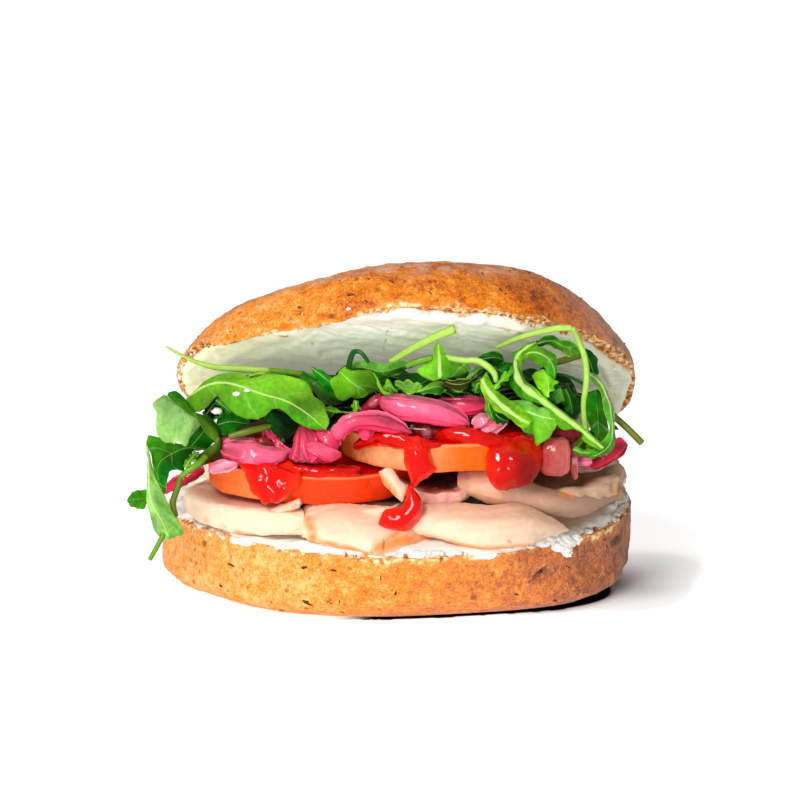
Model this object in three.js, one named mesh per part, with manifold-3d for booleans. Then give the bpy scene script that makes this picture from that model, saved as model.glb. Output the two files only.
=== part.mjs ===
// A wholegrain bagel sandwich, cut through and propped open at the front like a shell.
// Bottom half, cream cheese, sliced chicken, tomato, pickled red onion, tomato sauce and a heap
// of rocket leaves, under the tilted top half with its own cream cheese.
// Millimetres, +Z up, the open front towards -Y.
import * as THREE from "three";
import { mergeVertices } from "three/addons/utils/BufferGeometryUtils.js";
import Module from "manifold-3d";

const wasm = await Module();
wasm.setup();

// Driving dimensions of the bagel
const BAGEL_RADIUS = 54.5; // at the cut
const HOLE_RADIUS = 7.5; // at the cut
const BOTTOM_RISE = 17; // height of the lower cut face
const TOP_RISE = 16; // thickness of the upper half
const OPENING_ANGLE = THREE.MathUtils.degToRad(29);
const TOP_CENTRE = new THREE.Vector3(0.5, 0, 45.5); // centre of the upper cut face
const CREAM = 1.7; // thickness of the spread
const GAP = 0.3; // air between pieces that touch
const CREAM_TOP_Z = BOTTOM_RISE + GAP + CREAM; // what the chicken lies on
const SLICE = 5.8; // thickness of a chicken slice
const TOMATO = 6.6; // thickness of a tomato slice
const TOMATO_Z = 26.6; // underside of the lower tomato slice
const LEAF = 0.9; // thickness of a leaf solid
const SMALLEST_DETAIL = 0.2; // what a cut piece is simplified to
const HEAP_DETAIL = 0.55; // and the heap of leaves before it is cut
const TURNS = 32; // faces round the bagel

const GROUP = new THREE.Group();
const COLOURS = {
  crust: [0xc9803a, 0.55],
  cream_cheese: [0xece8dc, 0.45],
  chicken: [0xeccba6, 0.5],
  tomato: [0xe8481f, 0.3],
  onion: [0xe0507c, 0.3],
  sauce: [0xd01c0c, 0.12],
  rocket: [0x4fa32a, 0.45],
};

// Small slow unevenness, the same for the same place
function unevenness(x, y, z, period) {
  const k = (2 * Math.PI) / period;
  return (
    (Math.sin(k * x + 1.3 * Math.sin(0.8 * k * y) + 0.4) +
      Math.sin(k * 1.13 * y + 1.1 * Math.sin(0.7 * k * z) + 2.1) +
      Math.sin(k * 0.91 * z + 1.2 * Math.sin(0.9 * k * x) + 4.2)) /
    3
  );
}

// Power that keeps its sign, for super-ellipses
function signedPower(value, power) {
  return Math.sign(value) * Math.abs(value) ** power;
}

// Moves every vertex of a geometry by a function of its place
function reshape(geometry, move) {
  const place = geometry.attributes.position;
  const v = new THREE.Vector3();
  for (let i = 0; i < place.count; i++) {
    v.fromBufferAttribute(place, i);
    move(v);
    place.setXYZ(i, v.x, v.y, v.z);
  }
  return geometry;
}

// The bare closed mesh of a geometry, its double vertices merged
function welded(geometry) {
  const bare = geometry.clone();
  bare.deleteAttribute("normal");
  bare.deleteAttribute("uv");
  return mergeVertices(bare, 1e-4);
}

// A welded geometry as a solid that faces out
function solid(geometry) {
  const g = welded(geometry);
  const make = (triVerts) =>
    new wasm.Manifold(
      new wasm.Mesh({ numProp: 3, vertProperties: new Float32Array(g.attributes.position.array), triVerts }),
    );
  const triangles = new Uint32Array(g.index.array);
  const made = make(triangles);
  if (made.volume() > 0) return made;
  for (let i = 0; i < triangles.length; i += 3) {
    [triangles[i], triangles[i + 1]] = [triangles[i + 1], triangles[i]];
  }
  return make(triangles);
}

// A solid as a geometry
function geometryOf(made) {
  const mesh = made.getMesh();
  return new THREE.BufferGeometry()
    .setAttribute("position", new THREE.BufferAttribute(new Float32Array(mesh.vertProperties), 3))
    .setIndex(new THREE.BufferAttribute(new Uint32Array(mesh.triVerts), 1));
}

// The same solid with its skin moved out, to cut a neighbour back with
function grown(made, by) {
  const g = geometryOf(made);
  g.computeVertexNormals();
  const place = g.attributes.position;
  const normal = g.attributes.normal;
  for (let i = 0; i < place.count; i++) {
    place.setXYZ(
      i,
      place.getX(i) + by * normal.getX(i),
      place.getY(i) + by * normal.getY(i),
      place.getZ(i) + by * normal.getZ(i),
    );
  }
  return solid(g);
}

// The largest closed body of a solid: scraps and shut hollows go
function largest(made) {
  return made.decompose().reduce((best, body) => (body.volume() > best.volume() ? body : best));
}

const placed = []; // what already lies there, each grown by the gap
const pieces = []; // the same as they are

// Adds one named piece, cut back from all that lies there before it
function addPiece(name, kind, made, cutBack = true) {
  let piece = made;
  if (cutBack) {
    for (const other of placed) piece = piece.subtract(other);
    piece = largest(largest(piece).simplify(SMALLEST_DETAIL));
    for (const other of pieces) {
      if (piece.intersect(other).volume() > 1e-3) piece = largest(piece.subtract(other));
    }
  }
  placed.push(grown(piece, GAP));
  pieces.push(piece);
  const [colour, roughness] = COLOURS[kind];
  const material = new THREE.MeshStandardMaterial({ color: colour, roughness, metalness: 0 });
  const mesh = new THREE.Mesh(geometryOf(piece), material);
  mesh.name = name;
  mesh.userData.kind = kind;
  GROUP.add(mesh);
  return piece;
}

// Half a bagel: a closed profile round the hole, its cut face at height 0 and its crust above.
// squareness is the power of the section's super-ellipse, flat the share of the height left.
function bagelHalf({ rise, squareness, flat, bulge, reach }) {
  const middle = (BAGEL_RADIUS + HOLE_RADIUS) / 2;
  const half = (BAGEL_RADIUS - HOLE_RADIUS) / 2;
  const profile = [];
  const crustSteps = 10;
  for (let i = 0; i <= crustSteps; i++) {
    const angle = (Math.PI * i) / crustSteps;
    const height = Math.min(rise, (rise / flat) * Math.sin(angle) ** (2 / squareness));
    const outward = -half * signedPower(Math.cos(angle), 2 / squareness);
    const swell = outward > 0 ? bulge * Math.sin((Math.PI * height) / rise) : 0;
    profile.push(new THREE.Vector2(middle + outward + swell, height));
  }
  const cutSteps = 2;
  for (let i = 1; i <= cutSteps; i++) {
    profile.push(new THREE.Vector2(BAGEL_RADIUS - (2 * half * i) / cutSteps, 0));
  }
  const ring = new THREE.LatheGeometry(profile, TURNS).rotateX(Math.PI / 2);
  return reshape(ring, reach);
}

// Where the foot and the crown are fuller than a round: how much, where and how wide.
// The foot's places are angles, in degrees from the right, and the crown's lie across the bagel.
const FOOT_FULLNESS = [
  { much: 5.7, angle: -41, wide: 26 },
  { much: 4.9, angle: -122, wide: 40 },
  { much: 2.1, angle: -163, wide: 22 },
];
const CROWN_FULLNESS = [
  { much: 2.7, across: 34, wide: 14 },
  { much: 1.4, across: 25, wide: 14 },
  { much: -0.9, across: -29, wide: 12 },
];

// A bell curve: 1 in its middle, and small from twice its width on
function bell(away, wide) {
  return Math.exp(-((away / wide) ** 2));
}

function bottomHalf() {
  const tuck = 0.155; // the base is this much shorter front to back than the widest place
  const ring = bagelHalf({
    rise: BOTTOM_RISE,
    squareness: 3.8,
    flat: 0.96,
    bulge: 1.2,
    reach: (v) => {
      const depth = v.z / BOTTOM_RISE;
      const lump = depth > 0.02 && depth < 0.98 ? 0.5 * unevenness(v.x, v.y, v.z, 34) : 0;
      const r = Math.hypot(v.x, v.y);
      const outer = THREE.MathUtils.smoothstep(r, 20, 50);
      v.x = v.x * (1 + (outer * lump) / r) - 0.8 * outer * Math.sin(Math.PI * depth);
      v.y *= (1 + (outer * lump) / r) * (1 - tuck * outer * depth ** 2);
      v.z = depth * BOTTOM_RISE;
      const low = outer * THREE.MathUtils.smoothstep(depth, 0.35, 0.85);
      for (const { much, angle, wide } of FOOT_FULLNESS) {
        const place = THREE.MathUtils.radToDeg(Math.atan2(-v.y, v.x)); // the ring is turned over later
        const away = THREE.MathUtils.euclideanModulo(place - angle + 180, 360) - 180;
        const push = much * low * bell(away, wide);
        v.x += push * Math.cos(THREE.MathUtils.degToRad(angle));
        v.y -= push * Math.sin(THREE.MathUtils.degToRad(angle));
      }
    },
  });
  return ring.rotateX(Math.PI).translate(0, 0, BOTTOM_RISE);
}

function topHalf() {
  const ring = bagelHalf({
    rise: TOP_RISE,
    squareness: 1.92,
    flat: 1,
    bulge: 0,
    reach: (v) => {
      const share = v.z / TOP_RISE;
      const r = Math.hypot(v.x, v.y);
      const lump = 0.8 * unevenness(v.x, v.y, v.z, 40);
      const across = v.x / BAGEL_RADIUS;
      v.z += share * (1.9 * across - 4.3 * across ** 2 + lump);
      for (const full of CROWN_FULLNESS) v.z += share * full.much * bell(v.x - full.across, full.wide);
      v.x *= 1 + (0.6 * share * unevenness(v.y, v.x, v.z, 30)) / r;
    },
  });
  return tiltedOpen(ring);
}

// From lying on the origin to the upper half's propped-open place
function tiltedOpen(geometry) {
  return geometry.rotateX(-OPENING_ANGLE).translate(TOP_CENTRE.x, TOP_CENTRE.y, TOP_CENTRE.z);
}

// A spread of cream cheese round the hole, from height 0 to its thickness, with a wavy edge
function creamLayer(outer, thickness, wave) {
  const inner = HOLE_RADIUS + 2;
  const soft = 0.5; // how far the edges round in
  const profile = [
    [inner, 0.15 * thickness],
    [inner + soft, 0],
    [outer - soft, 0],
    [outer, 0.2 * thickness],
    [outer - 1.5 * soft, 0.75 * thickness],
    [outer - 6 * soft, thickness],
    [(inner + outer) / 2, thickness],
    [inner + 3 * soft, thickness],
    [inner, 0.15 * thickness],
  ].map(([r, z]) => new THREE.Vector2(r, z));
  const ring = new THREE.LatheGeometry(profile, TURNS).rotateX(Math.PI / 2);
  return reshape(ring, (v) => {
    const angle = Math.atan2(v.y, v.x);
    const r = Math.hypot(v.x, v.y);
    const edge = THREE.MathUtils.smoothstep(r, 30, outer);
    const stretch = 1 + (edge * wave(angle)) / outer;
    const knife = v.z > 0.6 * thickness ? 0.25 * Math.sin(0.33 * v.x + 0.5 * v.y) : 0;
    v.set(v.x * stretch, v.y * stretch, v.z + knife);
  });
}

// A slice lying flat: a rounded disc stretched to its outline, then bent
// size is [half length, half width, thickness], square the outline's super-ellipse power
function slice({ size, square = 2.4, round = 0.5, bend = () => 0, segments = 20 }) {
  const [length, width, thickness] = size;
  const edge = round * thickness; // the rim's rounding, measured in from the outline
  const shy = 1 - edge / Math.min(length, width);
  const profile = [
    [0, thickness],
    [0.55 * shy, thickness],
    [shy, thickness],
    [1, 0.68 * thickness],
    [1, 0.3 * thickness],
    [shy, 0],
    [0, 0],
  ].map(([r, z]) => new THREE.Vector2(r, z));
  const disc = new THREE.LatheGeometry(profile, segments).rotateX(Math.PI / 2);
  return reshape(disc, (v) => {
    const r = Math.hypot(v.x, v.y);
    if (r > 0) {
      const [c, s] = [v.x / r, v.y / r];
      const reach = 1 / (Math.abs(c) ** square + Math.abs(s) ** square) ** (1 / square);
      v.x = c * r * reach * length;
      v.y = s * r * reach * width;
    }
    v.z += bend(v.x, v.y);
  });
}

// Turns a slice about its own centre, in degrees: its heading, then its lean and its roll
function lay(geometry, { at, heading = 0, lean = 0, roll = 0 }) {
  const turn = (degrees) => THREE.MathUtils.degToRad(degrees);
  return geometry.rotateZ(turn(heading)).rotateX(turn(lean)).rotateY(turn(roll)).translate(...at);
}

// A strip along a curve: a super-ellipse section, wide across and thin along the up direction.
// taper gives the share of the section left at each place from 0 to 1, camber hollows it.
function strip({ path, width, thickness, up, taper = () => 1, camber = 0, along = 9, around = 8 }) {
  const curve = new THREE.CatmullRomCurve3(path.map((p) => new THREE.Vector3(...p)), false, "centripetal");
  const profile = [new THREE.Vector2(0, 0)];
  for (let i = 0; i <= along; i++) profile.push(new THREE.Vector2(1, i / along));
  profile.push(new THREE.Vector2(0, 1));
  const rod = new THREE.LatheGeometry(profile, around);
  const upward = new THREE.Vector3(...up);
  return reshape(rod, (v) => {
    const t = THREE.MathUtils.clamp(v.y, 0, 1);
    const centre = curve.getPoint(t);
    const tangent = curve.getTangent(t);
    const side = new THREE.Vector3().crossVectors(tangent, upward).normalize();
    const lift = new THREE.Vector3().crossVectors(side, tangent).normalize();
    const share = Math.max(0.12, Math.min(1, taper(t)));
    const across = v.x * 0.5 * width * share;
    const bow = camber * (v.x * v.x - 0.5) * width * share;
    const high = v.z * 0.5 * thickness * share + bow;
    v.copy(centre).addScaledVector(side, across).addScaledVector(lift, high);
  });
}

// A thin wavy leaf along its midrib, both faces split into triangles alike.
// face is the way its upper side looks; cup bends the sides up, lobes is the number of lobes.
function leaf({ rib, width, face, cup = 0.25, lobes = 3, turn = 0 }) {
  const curve = new THREE.CatmullRomCurve3(rib.map((p) => new THREE.Vector3(...p)), false, "centripetal");
  const looks = new THREE.Vector3(...face);
  const along = rib.length + 2;
  const across = 2;
  const top = [];
  const bottom = [];
  for (let j = 0; j <= along; j++) {
    const t = j / along;
    const centre = curve.getPoint(t);
    const tangent = curve.getTangent(t);
    const side = new THREE.Vector3().crossVectors(tangent, looks).normalize();
    const lift = new THREE.Vector3().crossVectors(side, tangent).normalize();
    const roll = turn * (t - 0.5);
    const sideways = side.clone().multiplyScalar(Math.cos(roll)).addScaledVector(lift, Math.sin(roll));
    const outward = lift.clone().multiplyScalar(Math.cos(roll)).addScaledVector(side, -Math.sin(roll));
    for (let i = -1; i <= 1; i++) {
      const half = Math.max(0.9, width * leafOutline(t, lobes, i));
      const wave = 0.12 * width * Math.sin(5.5 * t + 2 * i) * Math.abs(i);
      const lifted = cup * half * i * i + wave;
      const p = centre.clone().addScaledVector(sideways, i * half).addScaledVector(outward, lifted);
      top.push(p.clone().addScaledVector(outward, LEAF / 2));
      bottom.push(p.addScaledVector(outward, -LEAF / 2));
    }
  }
  const count = top.length;
  const points = [...top, ...bottom];
  const index = [];
  const row = across + 1;
  const quad = (a, b, c, d) => index.push(a, b, c, a, c, d);
  for (let j = 0; j < along; j++) {
    for (let i = 0; i < across; i++) {
      const a = j * row + i;
      quad(a, a + 1, a + 1 + row, a + row);
      index.push(count + a, count + a + 1 + row, count + a + 1);
      index.push(count + a, count + a + row, count + a + 1 + row);
    }
    const left = j * row;
    quad(left, left + row, count + left + row, count + left);
    const right = left + across;
    quad(right + row, right, count + right, count + right + row);
  }
  for (let i = 0; i < across; i++) {
    quad(i + 1, i, count + i, count + i + 1);
    const end = along * row + i;
    quad(end, end + 1, count + end + 1, count + end);
  }
  const place = new Float32Array(points.flatMap((p) => [p.x, p.y, p.z]));
  const sheet = new THREE.BufferGeometry();
  sheet.setAttribute("position", new THREE.BufferAttribute(place, 3));
  sheet.setAttribute("normal", new THREE.BufferAttribute(new Float32Array(place.length), 3));
  sheet.setAttribute("uv", new THREE.BufferAttribute(new Float32Array(2 * points.length), 2));
  return sheet.setIndex(index);
}

// Half width of a rocket leaf as a share, at t from stalk to tip: lobed, with a round end
function leafOutline(t, lobes, side) {
  const envelope = Math.sin(Math.PI * Math.min(1, 0.08 + 0.86 * t) ** 0.8) ** 0.6;
  if (lobes === 0) return envelope;
  const notch = 0.5 + 0.5 * Math.cos(2 * Math.PI * lobes * t * 0.8 + 0.7 * side);
  const depth = 0.45 * (1 - THREE.MathUtils.smoothstep(t, 0.55, 0.85));
  return envelope * (1 - depth * notch);
}

addPiece("bagel_bottom", "crust", solid(bottomHalf()), false);
addPiece("bagel_top", "crust", solid(topHalf()), false);

const bottomSpread = creamLayer(52.3, CREAM, (a) => 0.7 * Math.sin(5 * a) + 0.5 * Math.sin(11 * a + 1));
bottomSpread.translate(0, 0, BOTTOM_RISE + GAP);
addPiece("cream_bottom", "cream_cheese", solid(bottomSpread), false);

const topSpread = creamLayer(52, CREAM, (a) => 0.6 * Math.sin(4 * a + 2) + 0.6 * Math.sin(9 * a));
topSpread.rotateX(Math.PI).translate(0, 0, -GAP);
addPiece("cream_top", "cream_cheese", solid(tiltedOpen(topSpread)), false);

// Tomato slices: a wide rounded rim of skin
const TOMATO_SLICES = [
  { name: "tomato_lower", at: [-20, -20.5, TOMATO_Z], radius: 24, roll: 1.5, wave: 0.5 },
  { name: "tomato_upper", at: [11, -19.5, TOMATO_Z + TOMATO + 0.6], radius: 25, roll: 0, wave: -0.4 },
];
for (const { name, at, radius, roll, wave } of TOMATO_SLICES) {
  const bend = (x, y) => wave * Math.sin((3 * x) / radius) * Math.cos((2 * y) / radius);
  const disc = slice({ size: [radius, radius, TOMATO], square: 2.15, round: 0.3, segments: 24, bend });
  addPiece(name, "tomato", solid(lay(disc, { at, roll })));
}

// Chicken slices: half length, half width and thickness, then how each lies
const CHICKEN_SLICES = [
  { name: "chicken_front_left", size: [20, 13.5, SLICE + 0.8], at: [-31, -28.8, CREAM_TOP_Z + 0.2], heading: -42 },
  { name: "chicken_middle", size: [24, 17, SLICE], at: [-3, -17, CREAM_TOP_Z + 0.2], heading: 8 },
  { name: "chicken_front_middle", size: [14, 7, 4.4], at: [-8.5, -44.7, 22.7], heading: 3, lean: 30 },
  { name: "chicken_front_right", size: [20.5, 7.4, 4.2], at: [15.5, -43.7, 22.9], heading: 3, lean: 31, roll: 3 },
  { name: "chicken_back_right", size: [17, 16, SLICE], at: [36, -5, CREAM_TOP_Z + 0.2], heading: 15 },
  { name: "chicken_back_left", size: [20, 14, SLICE - 0.6], at: [-27, 9, CREAM_TOP_Z + 0.2], heading: -14 },
  { name: "chicken_back", size: [19, 9.5, 4.2], at: [8, 21.5, CREAM_TOP_Z + 0.2], heading: 4 },
  {
    name: "chicken_right_upper",
    size: [18.5, 12, SLICE - 0.3],
    at: [32, -28, 23.6],
    heading: -4,
    bend: (x, y) => 0.011 * (x - 3) ** 2 + 0.08 * (y + 12),
  },
  {
    name: "chicken_right_high",
    size: [13, 10, 4.6],
    at: [38, -4, 26.2],
    heading: 28,
    bend: (x, y) => 0.012 * x * x - 0.02 * y,
  },
  { name: "chicken_inner_fold", size: [9.5, 9, 3.6], at: [8, -33, 28.2], heading: 12, bend: (x) => 0.03 * x * x },
];
for (const { name, size, at, heading, lean, roll, bend } of CHICKEN_SLICES) {
  const bent = bend ?? ((x, y) => 0.35 * Math.sin(0.21 * x + 0.13 * y));
  addPiece(name, "chicken", solid(lay(slice({ size, bend: bent }), { at, heading, lean, roll })));
}
addPiece(
  "chicken_torn_strip",
  "chicken",
  solid(
    strip({
      path: [[-3.2, -45.6, 34.6], [-1.6, -46.2, 31.5], [0.8, -46.8, 27.8]],
      width: 3.4,
      thickness: 1.6,
      up: [0, -1, 0.3],
      taper: (t) => 0.7 + 0.5 * Math.sin(Math.PI * t),
      along: 5,
    }),
  ),
);

// Pickled red onion: curved petals, each along its own arc
const ONION_PETALS = [
  {
    name: "onion_left_arc",
    path: [[-41, -29, 36.6], [-38.5, -37, 37], [-31, -41, 37], [-23.5, -39.5, 36.8]],
    width: 5.4, thickness: 4.6, up: [0, 0.2, 1],
  },
  {
    name: "onion_left_curl",
    path: [[-41.5, -33.5, 34], [-38.5, -40, 35], [-33.5, -42.6, 35.4]],
    width: 3.4, thickness: 2.4, up: [0, -0.3, 1],
  },
  {
    name: "onion_left_tip",
    path: [[-31, -36, 44.8], [-28, -37, 42], [-24.5, -38, 39.6]],
    width: 3.2, thickness: 2, up: [0, -1, 0.4],
  },
  {
    name: "onion_fan",
    path: [[-20.5, -34, 43.5], [-19.5, -38, 40], [-18.5, -41.5, 36.4]],
    width: 9.5, thickness: 3.6, up: [0, -1, 0.5],
  },
  {
    name: "onion_arch",
    path: [[-13.5, -40.5, 36.2], [-12, -40, 41.8], [-6.5, -39, 45.2], [0.5, -37.5, 44.6], [3.5, -37, 41.6]],
    width: 5, thickness: 2.4, up: [0, -1, 0.6],
  },
  {
    name: "onion_big_petal",
    path: [[-4.5, -33, 47], [1.5, -38, 47.4], [9, -39, 46.4], [16.5, -37.5, 43.4]],
    width: 7.4, thickness: 3, up: [0, -0.85, 0.5],
  },
  {
    name: "onion_back_petal",
    path: [[7, -31, 46.4], [14, -33, 46.6], [21, -32, 45.4]],
    width: 5.6, thickness: 2.6, up: [0, -0.8, 0.6],
  },
  {
    name: "onion_crumpled_end",
    path: [[16.5, -36.5, 42.6], [19.5, -39.5, 43.6], [24.5, -37, 42.6]],
    width: 4.6, thickness: 3, up: [0, -0.7, 0.7],
  },
  {
    name: "onion_right_block",
    path: [[30.5, -30, 38.4], [35, -34.5, 37], [38.4, -31.5, 36]],
    width: 6.4, thickness: 4.6, up: [0, -1, 0.2],
  },
  {
    name: "onion_right_ring",
    path: [[36, -24, 33.4], [41.5, -29.5, 33.6], [47, -28, 34.8], [51, -23, 37]],
    width: 4.6, thickness: 2, up: [0, -0.6, 0.8],
  },
  {
    name: "onion_left_low",
    path: [[-44.5, -18, 30.4], [-49.5, -20.5, 26.8], [-53.2, -19, 23.4]],
    width: 3.4, thickness: 2.4, up: [0, -1, 0.3],
  },
  {
    name: "onion_side_left",
    path: [[-40, -22, 36], [-41.5, -14, 36.2], [-37, -6, 35.6]],
    width: 4.6, thickness: 3.2, up: [0, 0, 1],
  },
  {
    name: "onion_side_right",
    path: [[38.5, -20, 37], [42, -11, 35], [39, -3, 33.2]],
    width: 4.8, thickness: 3.2, up: [0, 0, 1],
  },
  {
    name: "onion_back_arc",
    path: [[-14, 8, 30.2], [-2, 13, 28.6], [12, 11, 28.8]],
    width: 5, thickness: 2.8, up: [0, 0, 1],
  },
];
for (const petal of ONION_PETALS) {
  const taper = (t) => 0.45 + 0.75 * Math.sin(Math.PI * t) ** 0.6;
  const options = { ...petal, taper, camber: -0.1, along: 6, around: 7 };
  addPiece(petal.name, "onion", solid(strip(options)));
}

// Sauce: thick ribbons that run over a slice's edge and end in a drop
const SAUCE_RUNS = [
  {
    name: "sauce_left",
    path: [[-33, -35, 34], [-30, -42, 34.2], [-28.5, -45.6, 31.8], [-27.8, -46, 28.2]],
    width: 10.5, thickness: 3, up: [0, -1, 0.6], drop: 1.05,
  },
  {
    name: "sauce_left_pool",
    path: [[-23, -41, 34.3], [-16, -42.6, 34.4], [-8.5, -41.4, 34.2]],
    width: 7, thickness: 2, up: [0, -0.3, 1], drop: 1,
  },
  {
    name: "sauce_middle",
    path: [[-7, -36, 41], [-1, -41, 41.6], [2.4, -44.6, 40.2], [3.4, -45.4, 35.6], [3.6, -45.4, 30.6]],
    width: 7.6, thickness: 2.6, up: [0, -1, 0.7], drop: 0.8,
  },
  {
    name: "sauce_top_pool",
    path: [[8.5, -40, 41.4], [15, -41.5, 41.4], [22, -40.5, 41.2]],
    width: 7.5, thickness: 2.6, up: [0, -0.3, 1], drop: 1,
  },
  {
    name: "sauce_right",
    path: [[27, -35, 41.6], [27, -40, 41.4], [26, -44.2, 38.6], [25.6, -45.4, 33.4]],
    width: 12.5, thickness: 4, up: [0, -1, 0.6], drop: 1.1,
  },
  {
    name: "sauce_low_drop",
    path: [[2.8, -47, 30.6], [4.2, -47.4, 28.4], [2.6, -48.6, 25.6], [-2.2, -49.4, 23.8]],
    width: 5.2, thickness: 3.8, up: [0, -1, 0.5], drop: 1.25,
  },
];
for (const run of SAUCE_RUNS) {
  const taper = (t) => 0.75 + 0.3 * run.drop * THREE.MathUtils.smoothstep(t, 0.5, 0.9);
  const options = { ...run, taper, along: 7, around: 8 };
  addPiece(run.name, "sauce", solid(strip(options)));
}

// Rocket leaves that show, from stalk to tip, over a core that fills the heap
const LEAVES = [
  {
    rib: [[-46, -38, 48.6], [-41.5, -41, 52.3], [-33.6, -43.5, 53.4], [-25, -43.5, 50.4], [-17, -41.5, 45]],
    width: 5.6, face: [0, -0.85, 0.5], cup: -0.15, lobes: 2,
  },
  {
    rib: [[-41.5, -36, 37.5], [-43.4, -37.5, 42.2], [-46.8, -36.5, 46.3], [-51.5, -32, 48]],
    width: 8.2, face: [-0.5, -0.8, 0.3], cup: -0.5, lobes: 2,
  },
  {
    rib: [[-36, -26, 43.5], [-51, -40, 41.4], [-54, -44, 36], [-53.4, -46, 28.5], [-51, -47, 21.5]],
    width: 4.4, face: [-0.6, -0.75, 0.2], cup: 0.5, lobes: 0,
  },
  {
    rib: [[-36, -27, 42], [-46.5, -40, 38.4], [-51, -43, 34.5], [-50.5, -45, 28.5]],
    width: 4.6, face: [0.3, -0.9, -0.2], cup: 0.3, lobes: 2,
  },
  { rib: [[-37, -27, 41], [-50, -36, 30], [-56, -35, 25.8], [-60.9, -35, 24.6]], width: 2.6, face: [0, -1, 0.3], lobes: 0 },
  {
    rib: [[-12, -30, 45], [-17, -32, 49.4], [-23.5, -33, 52.8]],
    width: 5.6, face: [0.2, -0.9, 0.3], lobes: 2,
  },
  {
    rib: [[-5, -34, 49], [-8, -38, 52.4], [-12, -38.5, 53.4], [-15, -36, 50.6]],
    width: 5.6, face: [0, -1, 0.4], cup: 0.4, lobes: 2,
  },
  {
    rib: [[-13, -33, 54], [-5.6, -36, 56], [1.2, -36, 56], [6.5, -34, 52.8]],
    width: 4, face: [0, -0.8, 0.6], lobes: 2,
  },
  {
    rib: [[-3, -36, 51.5], [2.2, -40, 51], [7.5, -38, 51]],
    width: 3.6, face: [0, -0.6, 0.8], cup: 0.5, lobes: 0,
  },
  {
    rib: [[8.2, -36, 49.5], [8.6, -40, 54.6], [9, -39.5, 60.2]],
    width: 7, face: [0, -1, 0.25], lobes: 2,
  },
  {
    rib: [[9.5, -36, 50.2], [17.3, -38, 52], [22.8, -35, 54.2]],
    width: 4, face: [0, -0.8, 0.5], lobes: 2,
  },
  {
    rib: [[18, -37, 55.6], [21, -42, 52.2], [24.8, -45, 48], [28.6, -46.5, 43.8]],
    width: 5, face: [0, -1, 0.4], cup: -0.2, lobes: 3,
  },
  {
    rib: [[25.3, -36, 57], [27.6, -41, 52.6], [33.7, -44.5, 48.2], [39.6, -45.5, 43.8], [44.5, -45, 38.8]],
    width: 4, face: [0.1, -1, 0.4], cup: -0.3, lobes: 4,
  },
  {
    rib: [[22.5, -38, 49.8], [28.7, -42, 47], [34.5, -43.6, 44.4]],
    width: 6.4, face: [0, -1, -0.1], cup: 0.2, lobes: 2,
  },
  {
    rib: [[40, -28, 57.4], [45.2, -35, 51.1], [47, -38, 44.3], [46, -39, 36.8]],
    width: 6, face: [0.35, -0.9, 0.2], cup: 0.35, lobes: 0,
  },
  {
    rib: [[35, -30, 52.4], [37.6, -35, 46.1], [39.4, -36.5, 39.4]],
    width: 5, face: [0, -1, 0], lobes: 2,
  },
  {
    rib: [[28.5, -33, 56.6], [33.2, -39.5, 54], [34.8, -40.5, 48.8]],
    width: 5.6, face: [0.2, -1, 0.3], cup: 0.3, lobes: 3,
  },
  {
    rib: [[24.2, -34, 53], [28.5, -38, 58.6], [33.5, -38.5, 60.6], [39, -37, 58.6]],
    width: 3.2, face: [0, -0.8, 0.6], lobes: 0,
  },
  {
    rib: [[-38, -16, 45], [-45, -15, 44], [-50, -15, 39.5]],
    width: 6, face: [-0.4, 0, 0.9], lobes: 2,
  },
  {
    rib: [[38, -10, 43], [44, -9, 42], [48, -8, 38]],
    width: 6, face: [0.4, 0, 0.9], lobes: 2,
  },
  {
    rib: [[-26, 6, 36.5], [-37, 16, 31.5], [-45, 21, 26]],
    width: 5.4, face: [-0.3, 0.3, 0.9], lobes: 2,
  },
  {
    rib: [[24, 7, 36], [33, 18, 30.5], [40, 25, 25]],
    width: 5.2, face: [0.3, 0.3, 0.9], lobes: 2,
  },
];
const STALKS = [
  { path: [[-51.5, -45, 31], [-52.5, -46.8, 21], [-55.4, -48, 15]], width: 1.9 },
  { path: [[-34, -24, 44], [-38.5, -31, 42], [-42, -37, 39]], width: 2.2 },
  { path: [[-35, -25, 44], [-43.9, -40, 38], [-47.1, -43, 33.8], [-49.5, -44, 25.5]], width: 2 },
  { path: [[-52, -34, 60.4], [-46.7, -34, 57.3], [-38, -33.5, 55], [-24.6, -32, 53.4], [-14, -28, 50]], width: 2.4 },
  { path: [[-22, -26, 44.4], [-31, -37.5, 42.6], [-37.8, -41, 41]], width: 3.2 },
  { path: [[-3, -27, 53.6], [5.6, -35, 59.2], [11.7, -42, 63.4]], width: 3 },
  { path: [[0.4, -32, 54], [8.9, -38, 57], [17.3, -40, 57], [21, -41.5, 54.8], [21.4, -42, 52.2]], width: 2.2 },
  { path: [[21, -28, 54.4], [31.2, -37.5, 61.2], [38, -43.5, 64.2], [40, -44, 61.2], [41, -44, 54], [41.5, -44, 41]], width: 2.4 },
  { path: [[33, -15, 46.5], [44, -27, 45.4], [54.1, -37.5, 38.9]], width: 3 },
];

const TOMATO_MIDDLE = 11; // the upper tomato slice's place across

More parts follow.
